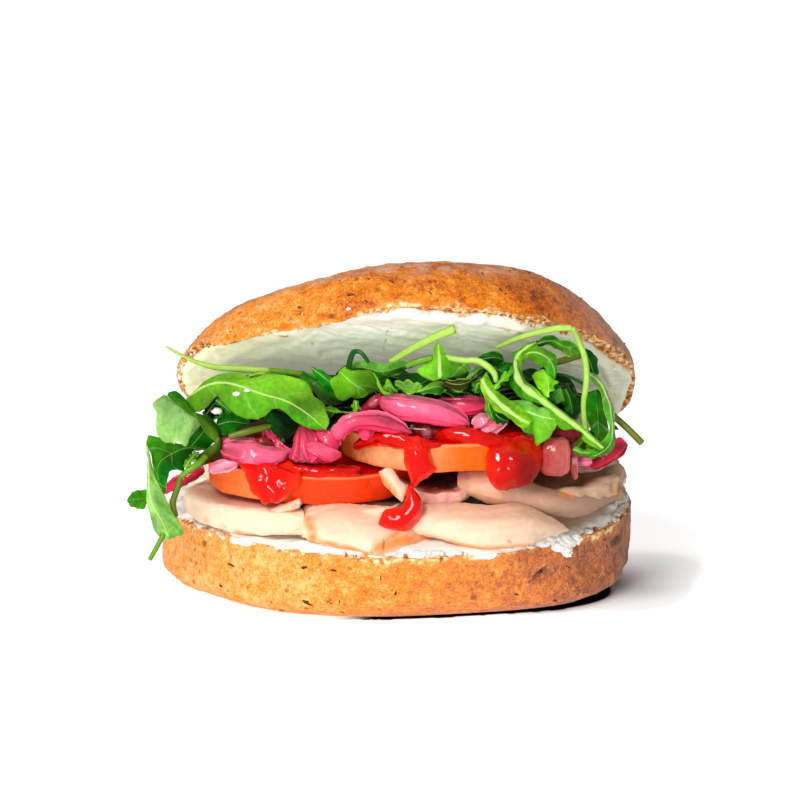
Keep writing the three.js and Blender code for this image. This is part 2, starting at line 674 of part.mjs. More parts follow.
// The heap's core fills the wedge between the onions and the tilted spread
function rocketCore() {
  const wedge = slice({ size: [42, 25, 1], square: 2.6, round: 0.5, segments: 24 });
  const spreadSlope = Math.tan(OPENING_ANGLE);
  const spreadUnderside = TOP_CENTRE.z - (CREAM + 2 * GAP + 0.6) / Math.cos(OPENING_ANGLE);
  return reshape(wedge, (v) => {
    const y = v.y - 13;
    const ceiling = spreadUnderside - spreadSlope * y + 0.5 * unevenness(v.x, y, 0, 22);
    const overOnions = 8.5 * THREE.MathUtils.smoothstep(-y, 26, 31);
    const besideTomato = 3 * THREE.MathUtils.smoothstep(Math.abs(v.x - TOMATO_MIDDLE), 24, 34);
    const floor = 41.4 + overOnions - besideTomato + 0.5 * unevenness(v.x, y, 3, 18);
    const upper = Math.min(ceiling, 53 + 0.8 * unevenness(v.x, y, 9, 16));
    v.set(v.x, y, THREE.MathUtils.lerp(Math.min(floor, upper - 2.4), upper, v.z));
  });
}

function rocketHeap() {
  const parts = [solid(rocketCore())];
  for (const one of LEAVES) parts.push(solid(leaf(one)));
  for (const { path, width } of STALKS) {
    parts.push(solid(strip({ path, width, thickness: width, up: [0, -0.6, 0.8], along: 6, around: 5 })));
  }
  return wasm.Manifold.union(parts).simplify(HEAP_DETAIL);
}
addPiece("rocket", "rocket", rocketHeap());

// The origin is the middle of the whole sandwich's footprint, on the table
GROUP.updateMatrixWorld(true);
const bounds = new THREE.Box3().setFromObject(GROUP);
const middle = bounds.getCenter(new THREE.Vector3());
for (const mesh of GROUP.children) mesh.geometry.translate(-middle.x, -middle.y, -bounds.min.z);

export default GROUP;
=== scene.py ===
"""A bagel sandwich propped open at the front, with cream cheese, chicken, tomato, pickled onion, tomato
sauce and rocket.

Shapes are worked out in millimetres in the sandwich's own frame: the bagel's axis at x = y = 0, the table at
z = 0, the open front towards -y. Points that were read off the photograph are (across, down) in its frame of
800 by 800, with the depth y in millimetres beside them, and seen() gives their place.
"""
import collections
import functools
import itertools

import bpy
import numpy as np
from bpy.props import FloatProperty, FloatVectorProperty, PointerProperty
from bpy.types import Operator, Panel, PropertyGroup
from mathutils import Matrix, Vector


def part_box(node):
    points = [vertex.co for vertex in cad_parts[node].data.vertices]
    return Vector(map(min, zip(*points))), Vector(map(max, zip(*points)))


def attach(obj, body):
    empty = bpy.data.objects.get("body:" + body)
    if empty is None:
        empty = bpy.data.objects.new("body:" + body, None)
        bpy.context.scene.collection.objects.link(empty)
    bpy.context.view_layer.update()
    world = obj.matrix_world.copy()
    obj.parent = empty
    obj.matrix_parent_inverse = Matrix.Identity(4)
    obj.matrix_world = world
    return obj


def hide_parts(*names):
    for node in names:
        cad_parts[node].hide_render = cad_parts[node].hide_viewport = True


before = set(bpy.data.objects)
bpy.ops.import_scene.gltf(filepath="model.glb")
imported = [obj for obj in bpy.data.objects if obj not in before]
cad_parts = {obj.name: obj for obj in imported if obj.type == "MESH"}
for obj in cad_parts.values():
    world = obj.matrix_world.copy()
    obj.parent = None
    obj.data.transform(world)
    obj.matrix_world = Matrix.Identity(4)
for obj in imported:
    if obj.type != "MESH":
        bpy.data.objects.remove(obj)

bl_info = {
    "name": "Bagel sandwich",
    "version": (1, 0, 0),
    "blender": (4, 5, 0),
    "location": "View3D > Sidebar > Sandwich",
    "description": "Builds the looks of a filled bagel round its packed frame",
    "category": "Object",
}

MM = 0.001

# The bagel, as in the part's source, in millimetres
BAGEL_RADIUS = 54.5
HOLE_RADIUS = 7.5
BOTTOM_RISE = 17.0
TOP_RISE = 16.0
OPENING = np.radians(29)
TOP_CENTRE = np.array([0.5, 0.0, 45.5])
CREAM = 1.7
GAP = 0.3
SPREAD_SLOPE = np.tan(OPENING)
SPREAD_UNDERSIDE = TOP_CENTRE[2] - (CREAM + GAP + 0.9) / np.cos(OPENING)

# The lower spread's middle tells where the sandwich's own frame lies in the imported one
CREAM_MIDDLE = np.array([0.3, 0.4])
spread_low, spread_high = (np.array(corner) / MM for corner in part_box("cream_bottom"))
SHIFT = np.append((spread_low + spread_high)[:2] / 2 - CREAM_MIDDLE, 0.0)

# The photograph's camera
PHOTO_SIZE = 800
AIM = np.array([0.0, 0.0, 41.0])
ELEVATION = np.radians(11.9)
DISTANCE = 700.0
FOCAL_PIXELS = 2982.0
SENSOR = 36.0

# Millimetres between the side veins of a leaf
VEIN_SPACING = 4.2

# A form with fewer rings than this along it has one at each point of its edges too
FEW_RINGS = 60


# Colours and numbers


def to_linear(hex_colour):
    """Linear red, green and blue of an sRGB hex colour."""
    channels = np.array([int(hex_colour[i : i + 2], 16) for i in (1, 3, 5)]) / 255
    return tuple(np.where(channels <= 0.04045, channels / 12.92, ((channels + 0.055) / 1.055) ** 2.4))


def tones(*hex_colours):
    """Linear colours, as arrays to reckon with."""
    return [np.array(to_linear(hex_colour)) for hex_colour in hex_colours]


def blend(start, end, share):
    """Colours on the way from one to the other, by the share at each point."""
    return start + (end - start) * np.asarray(share)[..., None]


def smooth(value, low, high):
    """0 up to low, 1 from high on, and an S-curve between."""
    share = np.clip((value - low) / (high - low), 0, 1)
    return share * share * (3 - 2 * share)


def off_ends(t, reach):
    """0 at both ends of a form's length and 1 from the reach on."""
    return smooth(t, 0, reach) * smooth(1 - t, 0, reach)


def hill(value, width):
    """1 where the value is 0, falling off to both sides as a bell of that half width."""
    return np.exp(-((value / width) ** 2))


def signed_power(value, power):
    """A power that keeps its sign, for super-ellipses."""
    return np.sign(value) * np.abs(value) ** power


def unit(vectors):
    """The same directions with length one."""
    return vectors / np.maximum(np.linalg.norm(vectors, axis=-1, keepdims=True), 1e-9)


def cell_values(cells, seed):
    """A value from 0 to 1 for each whole-number cell: its three numbers and the seed, mixed bit by bit."""
    x, y, z = (cells[..., i].astype(np.int64) for i in range(3))
    mixed = (x * 73856093 ^ y * 19349663 ^ z * 83492791 ^ seed * 50331653) & 0xFFFFFFFF
    mixed = (mixed ^ (mixed >> 13)) * 1274126177 & 0xFFFFFFFF
    mixed = (mixed ^ (mixed >> 16)) * 73244475 & 0xFFFFFFFF
    return ((mixed ^ (mixed >> 15)) & 0xFFFFFF) / 0xFFFFFF


def noise(points, period, seed=0):
    """Smooth unevenness from -1 to 1: random values at the corners of cells period wide, blended between."""
    scaled = np.asarray(points, float) / period
    cell = np.floor(scaled)
    inside = scaled - cell
    inside = inside * inside * (3 - 2 * inside)
    total = 0.0
    for corner in itertools.product((0, 1), repeat=3):
        weight = np.prod(np.where(corner, inside, 1 - inside), axis=-1)
        total = total + weight * cell_values(cell + corner, seed)
    return 2 * total - 1


def marks(points, period, seed):
    """Distances, in cells, to the nearest and the second nearest of marks strewn one to a cell, and the
    nearest one's own random value."""
    scaled = np.asarray(points, float) / period
    cell = np.floor(scaled)
    first = np.full(scaled.shape[:-1], 9.0)
    second = first.copy()
    value = np.zeros_like(first)
    for offset in itertools.product((-1, 0, 1), repeat=3):
        near = cell + offset
        mark = near + np.stack([cell_values(near, seed + k) for k in range(3)], axis=-1)
        distance = np.linalg.norm(scaled - mark, axis=-1)
        closer = distance < first
        second = np.where(closer, first, np.minimum(second, distance))
        value = np.where(closer, cell_values(near, seed + 3), value)
        first = np.where(closer, distance, first)
    return first, second, value


def unevenness(x, y, z, period):
    """The slow unevenness of the part's source: the mean of three sines that bend each other."""
    k = 2 * np.pi / period
    return (
        np.sin(k * x + 1.3 * np.sin(0.8 * k * y) + 0.4)
        + np.sin(k * 1.13 * y + 1.1 * np.sin(0.7 * k * z) + 2.1)
        + np.sin(k * 0.91 * z + 1.2 * np.sin(0.9 * k * x) + 4.2)
    ) / 3


def seen(pixels):
    """Places, in millimetres, from rows of (across, down, depth): the point at that depth on the camera's
    ray through that pixel of the photograph."""
    across, down, depth = np.moveaxis(np.asarray(pixels, float), -1, 0)
    s, c = np.sin(ELEVATION), np.cos(ELEVATION)
    rise = (PHOTO_SIZE / 2 - down) / FOCAL_PIXELS
    height = (rise * (DISTANCE + depth * c) - depth * s) / (c + rise * s)
    away = DISTANCE + depth * c - height * s
    sideways = (across - PHOTO_SIZE / 2) * away / FOCAL_PIXELS
    return np.stack([sideways, depth, height + AIM[2]], axis=-1)


def shown_at(points):
    """Where the photograph shows points in millimetres, as (across, down)."""
    x, y, z = np.moveaxis(np.asarray(points, float), -1, 0)
    s, c = np.sin(ELEVATION), np.cos(ELEVATION)
    away = DISTANCE + y * c - (z - AIM[2]) * s
    rise = (y * s + (z - AIM[2]) * c) / away
    across = PHOTO_SIZE / 2 + FOCAL_PIXELS * x / away
    return np.stack([across, PHOTO_SIZE / 2 - FOCAL_PIXELS * rise], axis=-1)


def near_line(points, line, width):
    """1 where a line of the photograph's pixels crosses the points, and 0 from width pixels away on."""
    pixels = shown_at(points)
    line = np.asarray(line, float)
    closest = np.full(pixels.shape[:-1], np.inf)
    for start, end in zip(line[:-1], line[1:]):
        way = end - start
        along = np.clip(np.sum((pixels - start) * way, axis=-1) / np.sum(way * way), 0, 1)
        closest = np.minimum(closest, np.linalg.norm(pixels - start - along[..., None] * way, axis=-1))
    return 1 - smooth(closest, 0, width)


def clear_of_spread(points, gap=0.6):
    """Points that would lie in the upper spread, moved along the camera's rays until they are under it."""
    s, c = np.sin(ELEVATION), np.cos(ELEVATION)
    above = points[..., 2] + SPREAD_SLOPE * points[..., 1] - SPREAD_UNDERSIDE + gap
    reached = np.linalg.norm(points[..., :2] - TOP_CENTRE[:2], axis=-1) < 60
    move = np.where(reached, np.maximum(above, 0), 0) / (SPREAD_SLOPE * c - s)
    return points + move[..., None] * np.array([0, -c, s])


# Curves and grids


def knots_of(points):
    """Where a curve's own points lie on it, from 0 to 1. The first three columns set the pace."""
    pace = np.maximum(np.linalg.norm(np.diff(np.asarray(points, float)[:, :3], axis=0), axis=1) ** 0.8, 1e-6)
    knots = np.concatenate([[0], np.cumsum(pace)])
    return knots / knots[-1]


def spline(points, at, tightness=0.0):
    """The smooth curve through the points at the places at, from 0 to 1: on each stretch a cubic whose end
    slopes are the weighted means of the chords' slopes. Tightness from 0 to 1 takes it towards the straight
    chords, with crisper bends at the points."""
    points = np.asarray(points, float)
    knots = knots_of(points)
    pace = np.diff(knots)
    rise = np.diff(points, axis=0) / pace[:, None]
    slope = np.concatenate([rise[:1], rise[-1:]])
    if len(points) > 2:
        before, after = pace[:-1, None], pace[1:, None]
        middle = (rise[1:] * before + rise[:-1] * after) / (before + after)
        slope = np.concatenate([rise[:1], middle, rise[-1:]])
    slope = slope * (1 - tightness)
    place = np.asarray(at, float)
    i = np.clip(np.searchsorted(knots, place, side="right") - 1, 0, len(pace) - 1)
    step = pace[i][:, None]
    w = (place - knots[i])[:, None] / step
    start = (1 + 2 * w) * (1 - w) ** 2 * points[i] + w * (1 - w) ** 2 * step * slope[i]
    end = w * w * (3 - 2 * w) * points[i + 1] + w * w * (w - 1) * step * slope[i + 1]
    return start + end


def evenly(points, count):
    """Points at even distances along a polyline."""
    length = np.concatenate([[0], np.cumsum(np.linalg.norm(np.diff(points, axis=0), axis=1))])
    at = np.linspace(0, length[-1], count)
    return np.stack([np.interp(at, length, column) for column in points.T], axis=1)


def eased(count):
    """Numbers from 0 to 1, closer together towards both ends, as the cosine spaces them."""
    return 0.5 - 0.5 * np.cos(np.pi * np.linspace(0, 1, count))


def rings_normals(grid, closed=False):
    """Outward directions on a tube of rings, from the cross product of its two slopes."""
    along = (np.roll(grid, -1, 0) - np.roll(grid, 1, 0)) if closed else np.gradient(grid, axis=0)
    around = np.roll(grid, -1, 1) - np.roll(grid, 1, 1)
    normal = unit(np.cross(along, around))
    outward = np.sum(normal * (grid - grid.mean(axis=1, keepdims=True)))
    return normal if closed or outward > 0 else -normal


def raised(grid, height):
    """A tube of rings whose skin is moved outwards by a height at each point."""
    return grid + height[..., None] * rings_normals(grid)


class Skin:
    """Gathers closed grids of points into one mesh, with named values and colours at its points."""

    def __init__(self):
        self.places = []
        self.corners = []
        self.values = {}
        self.count = 0

    def add(self, grid, closed=False, **values):
        """Adds a tube whose rows are rings. Its ends join where it is closed; otherwise a point in the
        middle of each end shuts it. Its triangles are turned so that it encloses a positive volume."""
        rings, around = grid.shape[:2]
        places = grid.reshape(-1, 3)
        rows = np.arange(rings if closed else rings - 1)[:, None] * around
        here = np.arange(around)[None, :]
        there = (here + 1) % around
        following = (rows + around) % (rings * around)
        a, b, c, d = rows + here, rows + there, following + there, following + here
        corners = [np.stack([a, b, c], -1).reshape(-1, 3), np.stack([a, c, d], -1).reshape(-1, 3)]
        if not closed:
            first, last = len(places), len(places) + 1
            places = np.concatenate([places, grid[:1].mean(axis=1), grid[-1:].mean(axis=1)])
            ring, after = here.ravel(), there.ravel()
            end = (rings - 1) * around
            corners.append(np.stack([after, ring, np.full(around, first)], -1))
            corners.append(np.stack([end + ring, end + after, np.full(around, last)], -1))
        corners = np.concatenate(corners)
        p, q, r = (places[corners[:, k]] for k in range(3))
        if np.sum(p * np.cross(q, r)) < 0:
            corners = corners[:, ::-1]
        self.corners.append(corners + self.count)
        self.places.append(places)
        self.count += len(places)
        for name, value in values.items():
            value = np.asarray(value, float)
            if value.shape[-1:] != (3,):
                value = value[..., None]
            full = np.broadcast_to(value, (rings, around, value.shape[-1]))
            flat = full.reshape(-1, value.shape[-1])
            if not closed:
                flat = np.concatenate([flat, full[:1].mean(axis=1), full[-1:].mean(axis=1)])
            self.values.setdefault(name, []).append(flat)

    def made(self, name, material):
        """The object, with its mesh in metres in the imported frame."""
        places = (np.concatenate(self.places) + SHIFT) * MM
        corners = np.concatenate(self.corners).astype(np.int32)
        mesh = bpy.data.meshes.new(name)
        mesh.vertices.add(len(places))
        mesh.vertices.foreach_set("co", places.ravel())
        mesh.loops.add(corners.size)
        mesh.loops.foreach_set("vertex_index", corners.ravel())
        mesh.polygons.add(len(corners))
        mesh.polygons.foreach_set("loop_start", np.arange(0, corners.size, 3, dtype=np.int32))
        mesh.update(calc_edges=True)
        mesh.polygons.foreach_set("use_smooth", np.ones(len(corners), dtype=bool))
        for value_name, parts in self.values.items():
            flat = np.concatenate(parts)
            kind, field = "FLOAT", "value"
            if flat.shape[1] == 3:
                kind, field = "FLOAT_COLOR", "color"
                flat = np.column_stack([flat, np.ones(len(flat))])
            mesh.attributes.new(value_name, kind, "POINT").data.foreach_set(field, flat.ravel())
        mesh.materials.append(material)
        made = bpy.data.objects.new(name, mesh)
        bpy.context.scene.collection.objects.link(made)
        return made

    def piece(self, name, material, slot, *nodes):
        """The object as a piece of the sandwich that rides on its body."""
        made = self.made(name, material)
        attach(made, "root")
        if nodes:
            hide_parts(*nodes)
        return made


def place_skins(food, ending, skins, material):
    """Makes each skin the piece that replaces the node of its name."""
    for node, skin in skins.items():
        skin.piece(f"{food}_{node}_{ending}", material, food, f"{food}_{node}")


# Forms


def strand(path, up, rings, around, power=1.0, camber=0.0, blunt=1.0):
    """A tube along a smooth path whose rows are x, y, z, width, thickness: at each place a super-ellipse,
    wide across and thin along the up direction, hollowed by the camber, with ends rounded like an ellipse.
    Gives its grid and how far across each point lies, from -1 to 1."""
    t = eased(rings)
    run = spline(path, t)
    centre, width, thickness = run[:, :3], run[:, 3], run[:, 4]
    tangent = unit(np.gradient(centre, axis=0))
    side = unit(np.cross(tangent, np.asarray(up, float)))
    lift = np.cross(side, tangent)
    length = np.sum(np.linalg.norm(np.diff(centre, axis=0), axis=1))
    end = np.clip(0.5 * blunt * width / length, 0.01, 0.5)
    from_end = np.minimum(t, 1 - t)
    closing = np.sqrt(np.maximum(1 - np.clip(1 - from_end / end, 0, 1) ** 2, 0.002))
    angle = np.linspace(0, 2 * np.pi, around, endpoint=False)
    across = signed_power(np.cos(angle), power)
    high = signed_power(np.sin(angle), power)
    wide = (0.5 * width * closing)[:, None]
    out = wide * across
    up_by = (0.5 * thickness * closing)[:, None] * high + camber * wide * (across**2 - 0.5)
    grid = centre[:, None] + out[..., None] * side[:, None] + up_by[..., None] * lift[:, None]
    return grid, across + 0 * out


# Rings of a slab on its top, round its side and on its underside
SLAB_ROWS = (30, 30, 10)


def slab(size, square, rounding, bend=None, around=200, ragged=0.0, seed=0, flat=1.0):
    """A rounded disc stretched to a super-ellipse outline. size is half length, half width and thickness. Its
    outline wanders by the share ragged, and flat from 1 down to 0 squares the round of its side. Returns the
    grid, and how far out and how high each point lies."""
    rows = SLAB_ROWS
    length, width, thickness = size
    inner = 1 - rounding * thickness / min(length, width)
    rim = np.linspace(np.pi / 2, -np.pi / 2, rows[1])
    radius = np.concatenate([
        np.linspace(0.02, inner, rows[0], endpoint=False),
        inner + (1 - inner) * signed_power(np.cos(rim), 0.75 * flat),
        np.linspace(inner, 0.03, rows[2])[1:],
    ])[:, None]
    height = np.concatenate([
        np.full(rows[0], 1.0),
        0.5 + 0.5 * signed_power(np.sin(rim), 0.8 * flat),
        np.zeros(rows[2] - 1),
    ])[:, None]
    angle = np.linspace(0, 2 * np.pi, around, endpoint=False)[None, :]
    c, s = np.cos(angle), np.sin(angle)
    reach = (np.abs(c) ** square + np.abs(s) ** square) ** (-1 / square)
    circle = np.stack([c * 3, s * 3, 0 * c + seed], axis=-1)
    wander = noise(circle, 1.3, seed) + 0.5 * noise(circle, 0.5, seed + 1)
    wander = wander + 0.2 * noise(circle, 0.17, seed + 2)
    reach = reach * (1 + ragged * wander)
    x, y = c * radius * reach * length, s * radius * reach * width
    z = height * thickness + 0 * angle
    if bend:
        z = z + bend(x, y)
    return np.stack([x, y, z], axis=-1), radius + 0 * angle, height + 0 * angle


def turned(points, axis, degrees):
    """Points turned about the x (0), y (1) or z (2) axis."""
    angle = np.radians(degrees)
    c, s = np.cos(angle), np.sin(angle)
    first, second = [(1, 2), (2, 0), (0, 1)][axis]
    out = points.copy()
    out[..., first] = c * points[..., first] - s * points[..., second]
    out[..., second] = s * points[..., first] + c * points[..., second]
    return out


def sheet(
    rib, edge_a, edge_b, t, across, thickness, power, bow, fold=0.0, ruffle=(0, 0), phase=0.0, pleats=(0, 0),
    ridge=0.0, quilt=0.0,
):
    """A closed form between two edge curves with a rib between them, all given as rows of points at the
    places t along it.

    Each row runs straight from edge to rib to edge. It is bowed by a half sine and folded up at the rib; its
    edges are ruffled by a sine along it, pleats are a sine across it, and the quilt is a ripple that follows
    the side veins. Both faces stand off it by half the thickness times (1 - |s|^power)^(1/power), where s
    runs from -1 at one edge to 1 at the other, and by a ridge over the rib. Returns the grid of rings over
    the front and back face, and t, s and the face at each point."""
    t = np.asarray(t)[:, None]
    s = np.sin(np.linspace(-np.pi / 2, np.pi / 2, across))[None, :]
    rib, edge_a, edge_b = (np.asarray(curve)[:, None] for curve in (rib, edge_a, edge_b))
    side = np.where(s[..., None] < 0, edge_a, edge_b)
    middle = rib + (side - rib) * np.abs(s)[..., None]
    slope = np.cross(np.gradient(middle, axis=0), np.gradient(middle, axis=1))
    steadier = unit(slope.mean(axis=1, keepdims=True)) * np.linalg.norm(slope, axis=-1).mean()
    normal = unit(slope + 0.35 * steadier)
    if normal.mean(axis=(0, 1))[1] > 0:
        normal = -normal
    half = 0.5 * np.linalg.norm(edge_b - edge_a, axis=-1)
    share = np.sqrt(half / half.max())
    run = np.linalg.norm(np.diff(rib[:, 0], axis=0), axis=1)
    run = np.concatenate([[0], np.cumsum(run)])[:, None]
    lift = bow * np.cos(np.pi * s / 2) + fold * np.abs(s)
    lift = lift + ruffle[0] * s * s * np.sin(2 * np.pi * ruffle[1] * t + phase + 1.5 * s)
    lift = lift + pleats[0] * np.sin(2 * np.pi * pleats[1] * s + phase + 2 * t)
    vein = run - 0.9 * np.abs(s) * half
    lift = lift + quilt * np.cos(2 * np.pi * vein / VEIN_SPACING) * 4 * np.abs(s) * (1 - np.abs(s))
    middle = middle + (lift * share)[..., None] * normal
    stand = 0.5 * thickness * share * np.maximum(1 - np.abs(s) ** power, 0) ** (1 / power)
    ridged = ridge * share * hill(s * half, 0.4)
    front = middle + (stand + ridged)[..., None] * normal
    back = middle - (stand + 0.6 * ridged)[..., None] * normal
    grid = np.concatenate([front, back[:, -2:0:-1]], axis=1)
    shown = np.concatenate([np.ones(s.size), np.zeros(s.size - 2)]) + 0 * t
    ring_s = np.concatenate([s, s[:, -2:0:-1]], axis=1) + 0 * t
    return grid, t + 0 * ring_s, ring_s, shown


def outline(node, thickness, lean, rib, *edges, **more):
    """A form as the photograph outlines it: a flat row of across, down and depth along its rib, one of across
    and down along each of its two edges, and how many millimetres each edge lies behind the rib."""
    curves = {"rib": np.reshape(rib, (-1, 3)), "edges": [np.reshape(edge, (-1, 2)) for edge in edges]}
    return {"node": node, "thickness": thickness, "lean": lean, **curves, **more}


def seen_sheet(one, along, across, tightness, wander=0.0, under_spread=False, **form):
    """A sheet with an outline that the photograph shows. Its edges may wander by some pixels, and
    under_spread keeps it clear of the upper spread."""
    rib, (edge_a, edge_b) = one["rib"], one["edges"]
    at = eased(along)
    if along < FEW_RINGS:
        at = np.unique(np.concatenate([at, knots_of(edge_a), knots_of(edge_b)]).round(4))
        at = at[np.concatenate([[True], np.diff(at) > 0.6 / along])]
        at[-1] = 1.0
    ribbed = spline(rib, at)
    curves = [ribbed]
    for edge, behind in zip(one["edges"], one["lean"]):
        line = spline(edge, at, tightness)
        width = np.linalg.norm(line - ribbed[:, :2], axis=1)
        depth = ribbed[:, 2] + behind * width / max(width.max(), 1e-6)
        line = line + wander * noise(np.column_stack([line, 0 * at]), 3.5, 77)[:, None]
        curves.append(np.column_stack([line, depth]))
    placed = [seen(curve) for curve in curves]
    if under_spread:
        placed = [clear_of_spread(curve) for curve in placed]
    return sheet(*placed, at, across, one["thickness"], **form)


def lump(centre, axes, rings=7, around=9, rough=0.0, seed=0):
    """A small ellipsoid: axes are its three half axes as vectors. Its skin is pushed in and out by rough."""
    height = np.linspace(0, np.pi, rings + 2)[1:-1, None]
    angle = np.linspace(0, 2 * np.pi, around, endpoint=False)[None, :]
    level = np.sin(height)
    ball = np.stack([level * np.cos(angle), level * np.sin(angle), np.cos(height) + 0 * angle], axis=-1)
    ball = ball * (1 + rough * noise(ball * 2 + seed * 3.7, 1.1, seed))[..., None]
    return np.asarray(centre) + ball @ np.asarray(axes)


# Materials

# Sockets of a colour mix: the colour under, the colour over it and the result
UNDER, OVER, MIXED = 6, 7, 2


def per(millimetres):
    """The scale of a pattern of that size on Object coordinates."""
    return 1 / (millimetres * MM)


def set_inputs(node, inputs):
    """Sets a node's sockets by their values, or links them to the outputs given."""
    for socket, value in inputs.items():
        if isinstance(value, bpy.types.NodeSocket):
            node.id_data.links.new(value, node.inputs[socket])
        else:
            node.inputs[socket].default_value = value


def add_node(material, kind, inputs=None, stops=(), **settings):
    """Adds a shader node and gives its outputs. settings are its properties, inputs its sockets' values or
    the outputs linked to them, and stops the places and colours of a colour ramp."""
    node = material.node_tree.nodes.new("ShaderNode" + kind)
    for name, value in settings.items():
        setattr(node, name, value)
    set_inputs(node, inputs or {})
    for number, (place, colour) in enumerate(stops):
        elements = node.color_ramp.elements
        stop = elements[number] if number < 2 else elements.new(place)
        stop.position = place
        stop.color = (*colour, 1)
    return node.outputs


def new_material(name):
    """An empty material, its Principled shader, and what adds nodes to it."""
    material = bpy.data.materials.new(name)
    material.use_nodes = True
    return material, material.node_tree.nodes["Principled BSDF"], functools.partial(add_node, material)


def speckled(add, at, under, size, reach, rare, strength, colour):
    """Strews specks over a colour: round a share of 1 - rare of the marks, one to a cell of size millimetres,
    as far as reach cells out."""
    cells = add("TexVoronoi", {"Vector": at, "Scale": per(size)})
    edge = {"From Min": 0.45 * reach, "From Max": reach, "To Min": strength, "To Max": 0.0}
    near = add("MapRange", {"Value": cells["Distance"], **edge})[0]
    picked = add("MapRange", {"Value": cells["Color"], "From Min": rare, "From Max": rare + 0.04})[0]
    share = add("Math", {0: near, 1: picked}, operation="MULTIPLY")[0]
    return add("Mix", {0: share, UNDER: under, OVER: (*colour, 1)}, data_type="RGBA")[MIXED]


def crust_material(colours):
    """Baked wholemeal crust: golden to red brown, finely mottled, with pale grain that partly paints small
    glints, specks of bran and a painted sheen, satin where the dough's skin is tight, and matt, pale and open
    where the crumb is torn at the cut."""
    material, shader, add = new_material("baked_wholemeal_crust")
    at = add("TexCoord")["Object"]
    shade, crumb, bloom = (
        add("Attribute", attribute_name=name)["Fac"] for name in ("bake", "crumb", "bloom")
    )
    grains = []
    for size, weight in ((11, 0.34), (6, 0.28), (3.0, 0.48), (1.2, 0.75), (0.45, 1.0)):
        grain = add("TexNoise", {"Vector": at, "Scale": per(size), "Detail": 2.0})["Fac"]
        centred = add("Math", {0: grain, 1: 0.5}, operation="SUBTRACT")[0]
        shade = add("Math", {0: centred, 1: weight, 2: shade}, operation="MULTIPLY_ADD")[0]
        grains.append(grain)
    fine, finest = grains[3:]
    baked = (
        (0.0, colours.crust_light), (0.35, colours.crust_golden), (0.65, colours.crust_brown),
        (1.0, colours.crust_dark),
    )
    skin = add("ValToRGB", {"Fac": shade}, baked)["Color"]
    wobble = add("TexNoise", {"Vector": at, "Scale": per(0.9), "Detail": 1.0})["Color"]
    moved = add("VectorMath", {0: wobble, "Scale": 0.9 * MM}, operation="SCALE")[0]
    ragged = add("VectorMath", {0: at, 1: moved}, operation="ADD")[0]
    # pale flecks, which partly paint small glints
    skin = speckled(add, ragged, skin, 0.8, 0.5, 0.76, 0.35, colours.crust_fleck)
    skin = speckled(add, ragged, skin, 2.3, 0.3, 0.62, 0.75, colours.bran)
    skin = speckled(add, ragged, skin, 4.5, 0.24, 0.7, 0.8, colours.crust_dark)
    open_crumb = ((0.34, colours.crumb_dark), (0.48, colours.crumb_brown), (0.62, colours.crumb_light))
    torn = add("ValToRGB", {"Fac": fine}, open_crumb)["Color"]
    # The painted sheen: a pale colour mixed in on the crest and the right, standing in for reflected light
    skin = add("Mix", {0: bloom, UNDER: skin, OVER: (*colours.crust_bloom, 1)}, data_type="RGBA")[MIXED]
    height = add("Math", {0: finest, 1: 0.5, 2: fine}, operation="MULTIPLY_ADD")[0]
    set_inputs(shader, {
        "Base Color": add("Mix", {0: crumb, UNDER: skin, OVER: torn}, data_type="RGBA")[MIXED],
        "Roughness": add("MapRange", {"Value": crumb, "To Min": 0.34, "To Max": 0.9})[0],
        "Normal": add("Bump", {"Height": height, "Strength": 0.7, "Distance": 0.4 * MM})[0],
        "Specular IOR Level": 0.3,
        "Sheen Weight": 0.12,
        "Sheen Roughness": 0.35,
        "Sheen Tint": (1.0, 0.86, 0.78, 1.0),
    })
    return material


def grained_material(name, roughness, size, bump, sockets):
    """A food surface with grain of a given size in millimetres, which its bump follows. Gives the grain too,
    for the colour. Further sockets are set directly on the shader."""
    material, shader, add = new_material(name)
    grain = add("TexNoise", {"Vector": add("TexCoord")["Object"], "Scale": per(size), "Detail": 4.0})["Fac"]
    lift = add("Bump", {"Height": grain, "Strength": bump, "Distance": 0.2 * size * MM})[0]
    set_inputs(shader, {"Normal": lift, "Roughness": roughness})
    set_inputs(shader, {socket.replace("_", " "): value for socket, value in sockets.items()})
    return material, shader, add, grain


def plain_material(name, colour, roughness, size, spread, bump=0.15, **sockets):
    """A food surface of one colour that its grain makes a little darker."""
    material, shader, add, grain = grained_material(name, roughness, size, bump, sockets)
    dark = tuple(channel * (1 - 2 * spread) for channel in colour)
    stops = ((0.36, dark), (0.64, colour))
    set_inputs(shader, {"Base Color": add("ValToRGB", {"Fac": grain}, stops)["Color"]})
    return material


def tinted_material(name, roughness, size, spread, bump, **sockets):
    """A food surface that takes its colour from the piece's own tint attribute, made a little lighter and
    darker by its grain."""
    material, shader, add, grain = grained_material(name, roughness, size, bump, sockets)
    tint = add("Attribute", attribute_name="tint")["Color"]
    levels = {"From Min": 0.3, "From Max": 0.7, "To Min": 1 - spread, "To Max": 1 + spread}
    tone = add("MapRange", {"Value": grain, **levels})[0]
    set_inputs(shader, {"Base Color": add("VectorMath", {0: tint, "Scale": tone}, operation="SCALE")[0]})
    return material


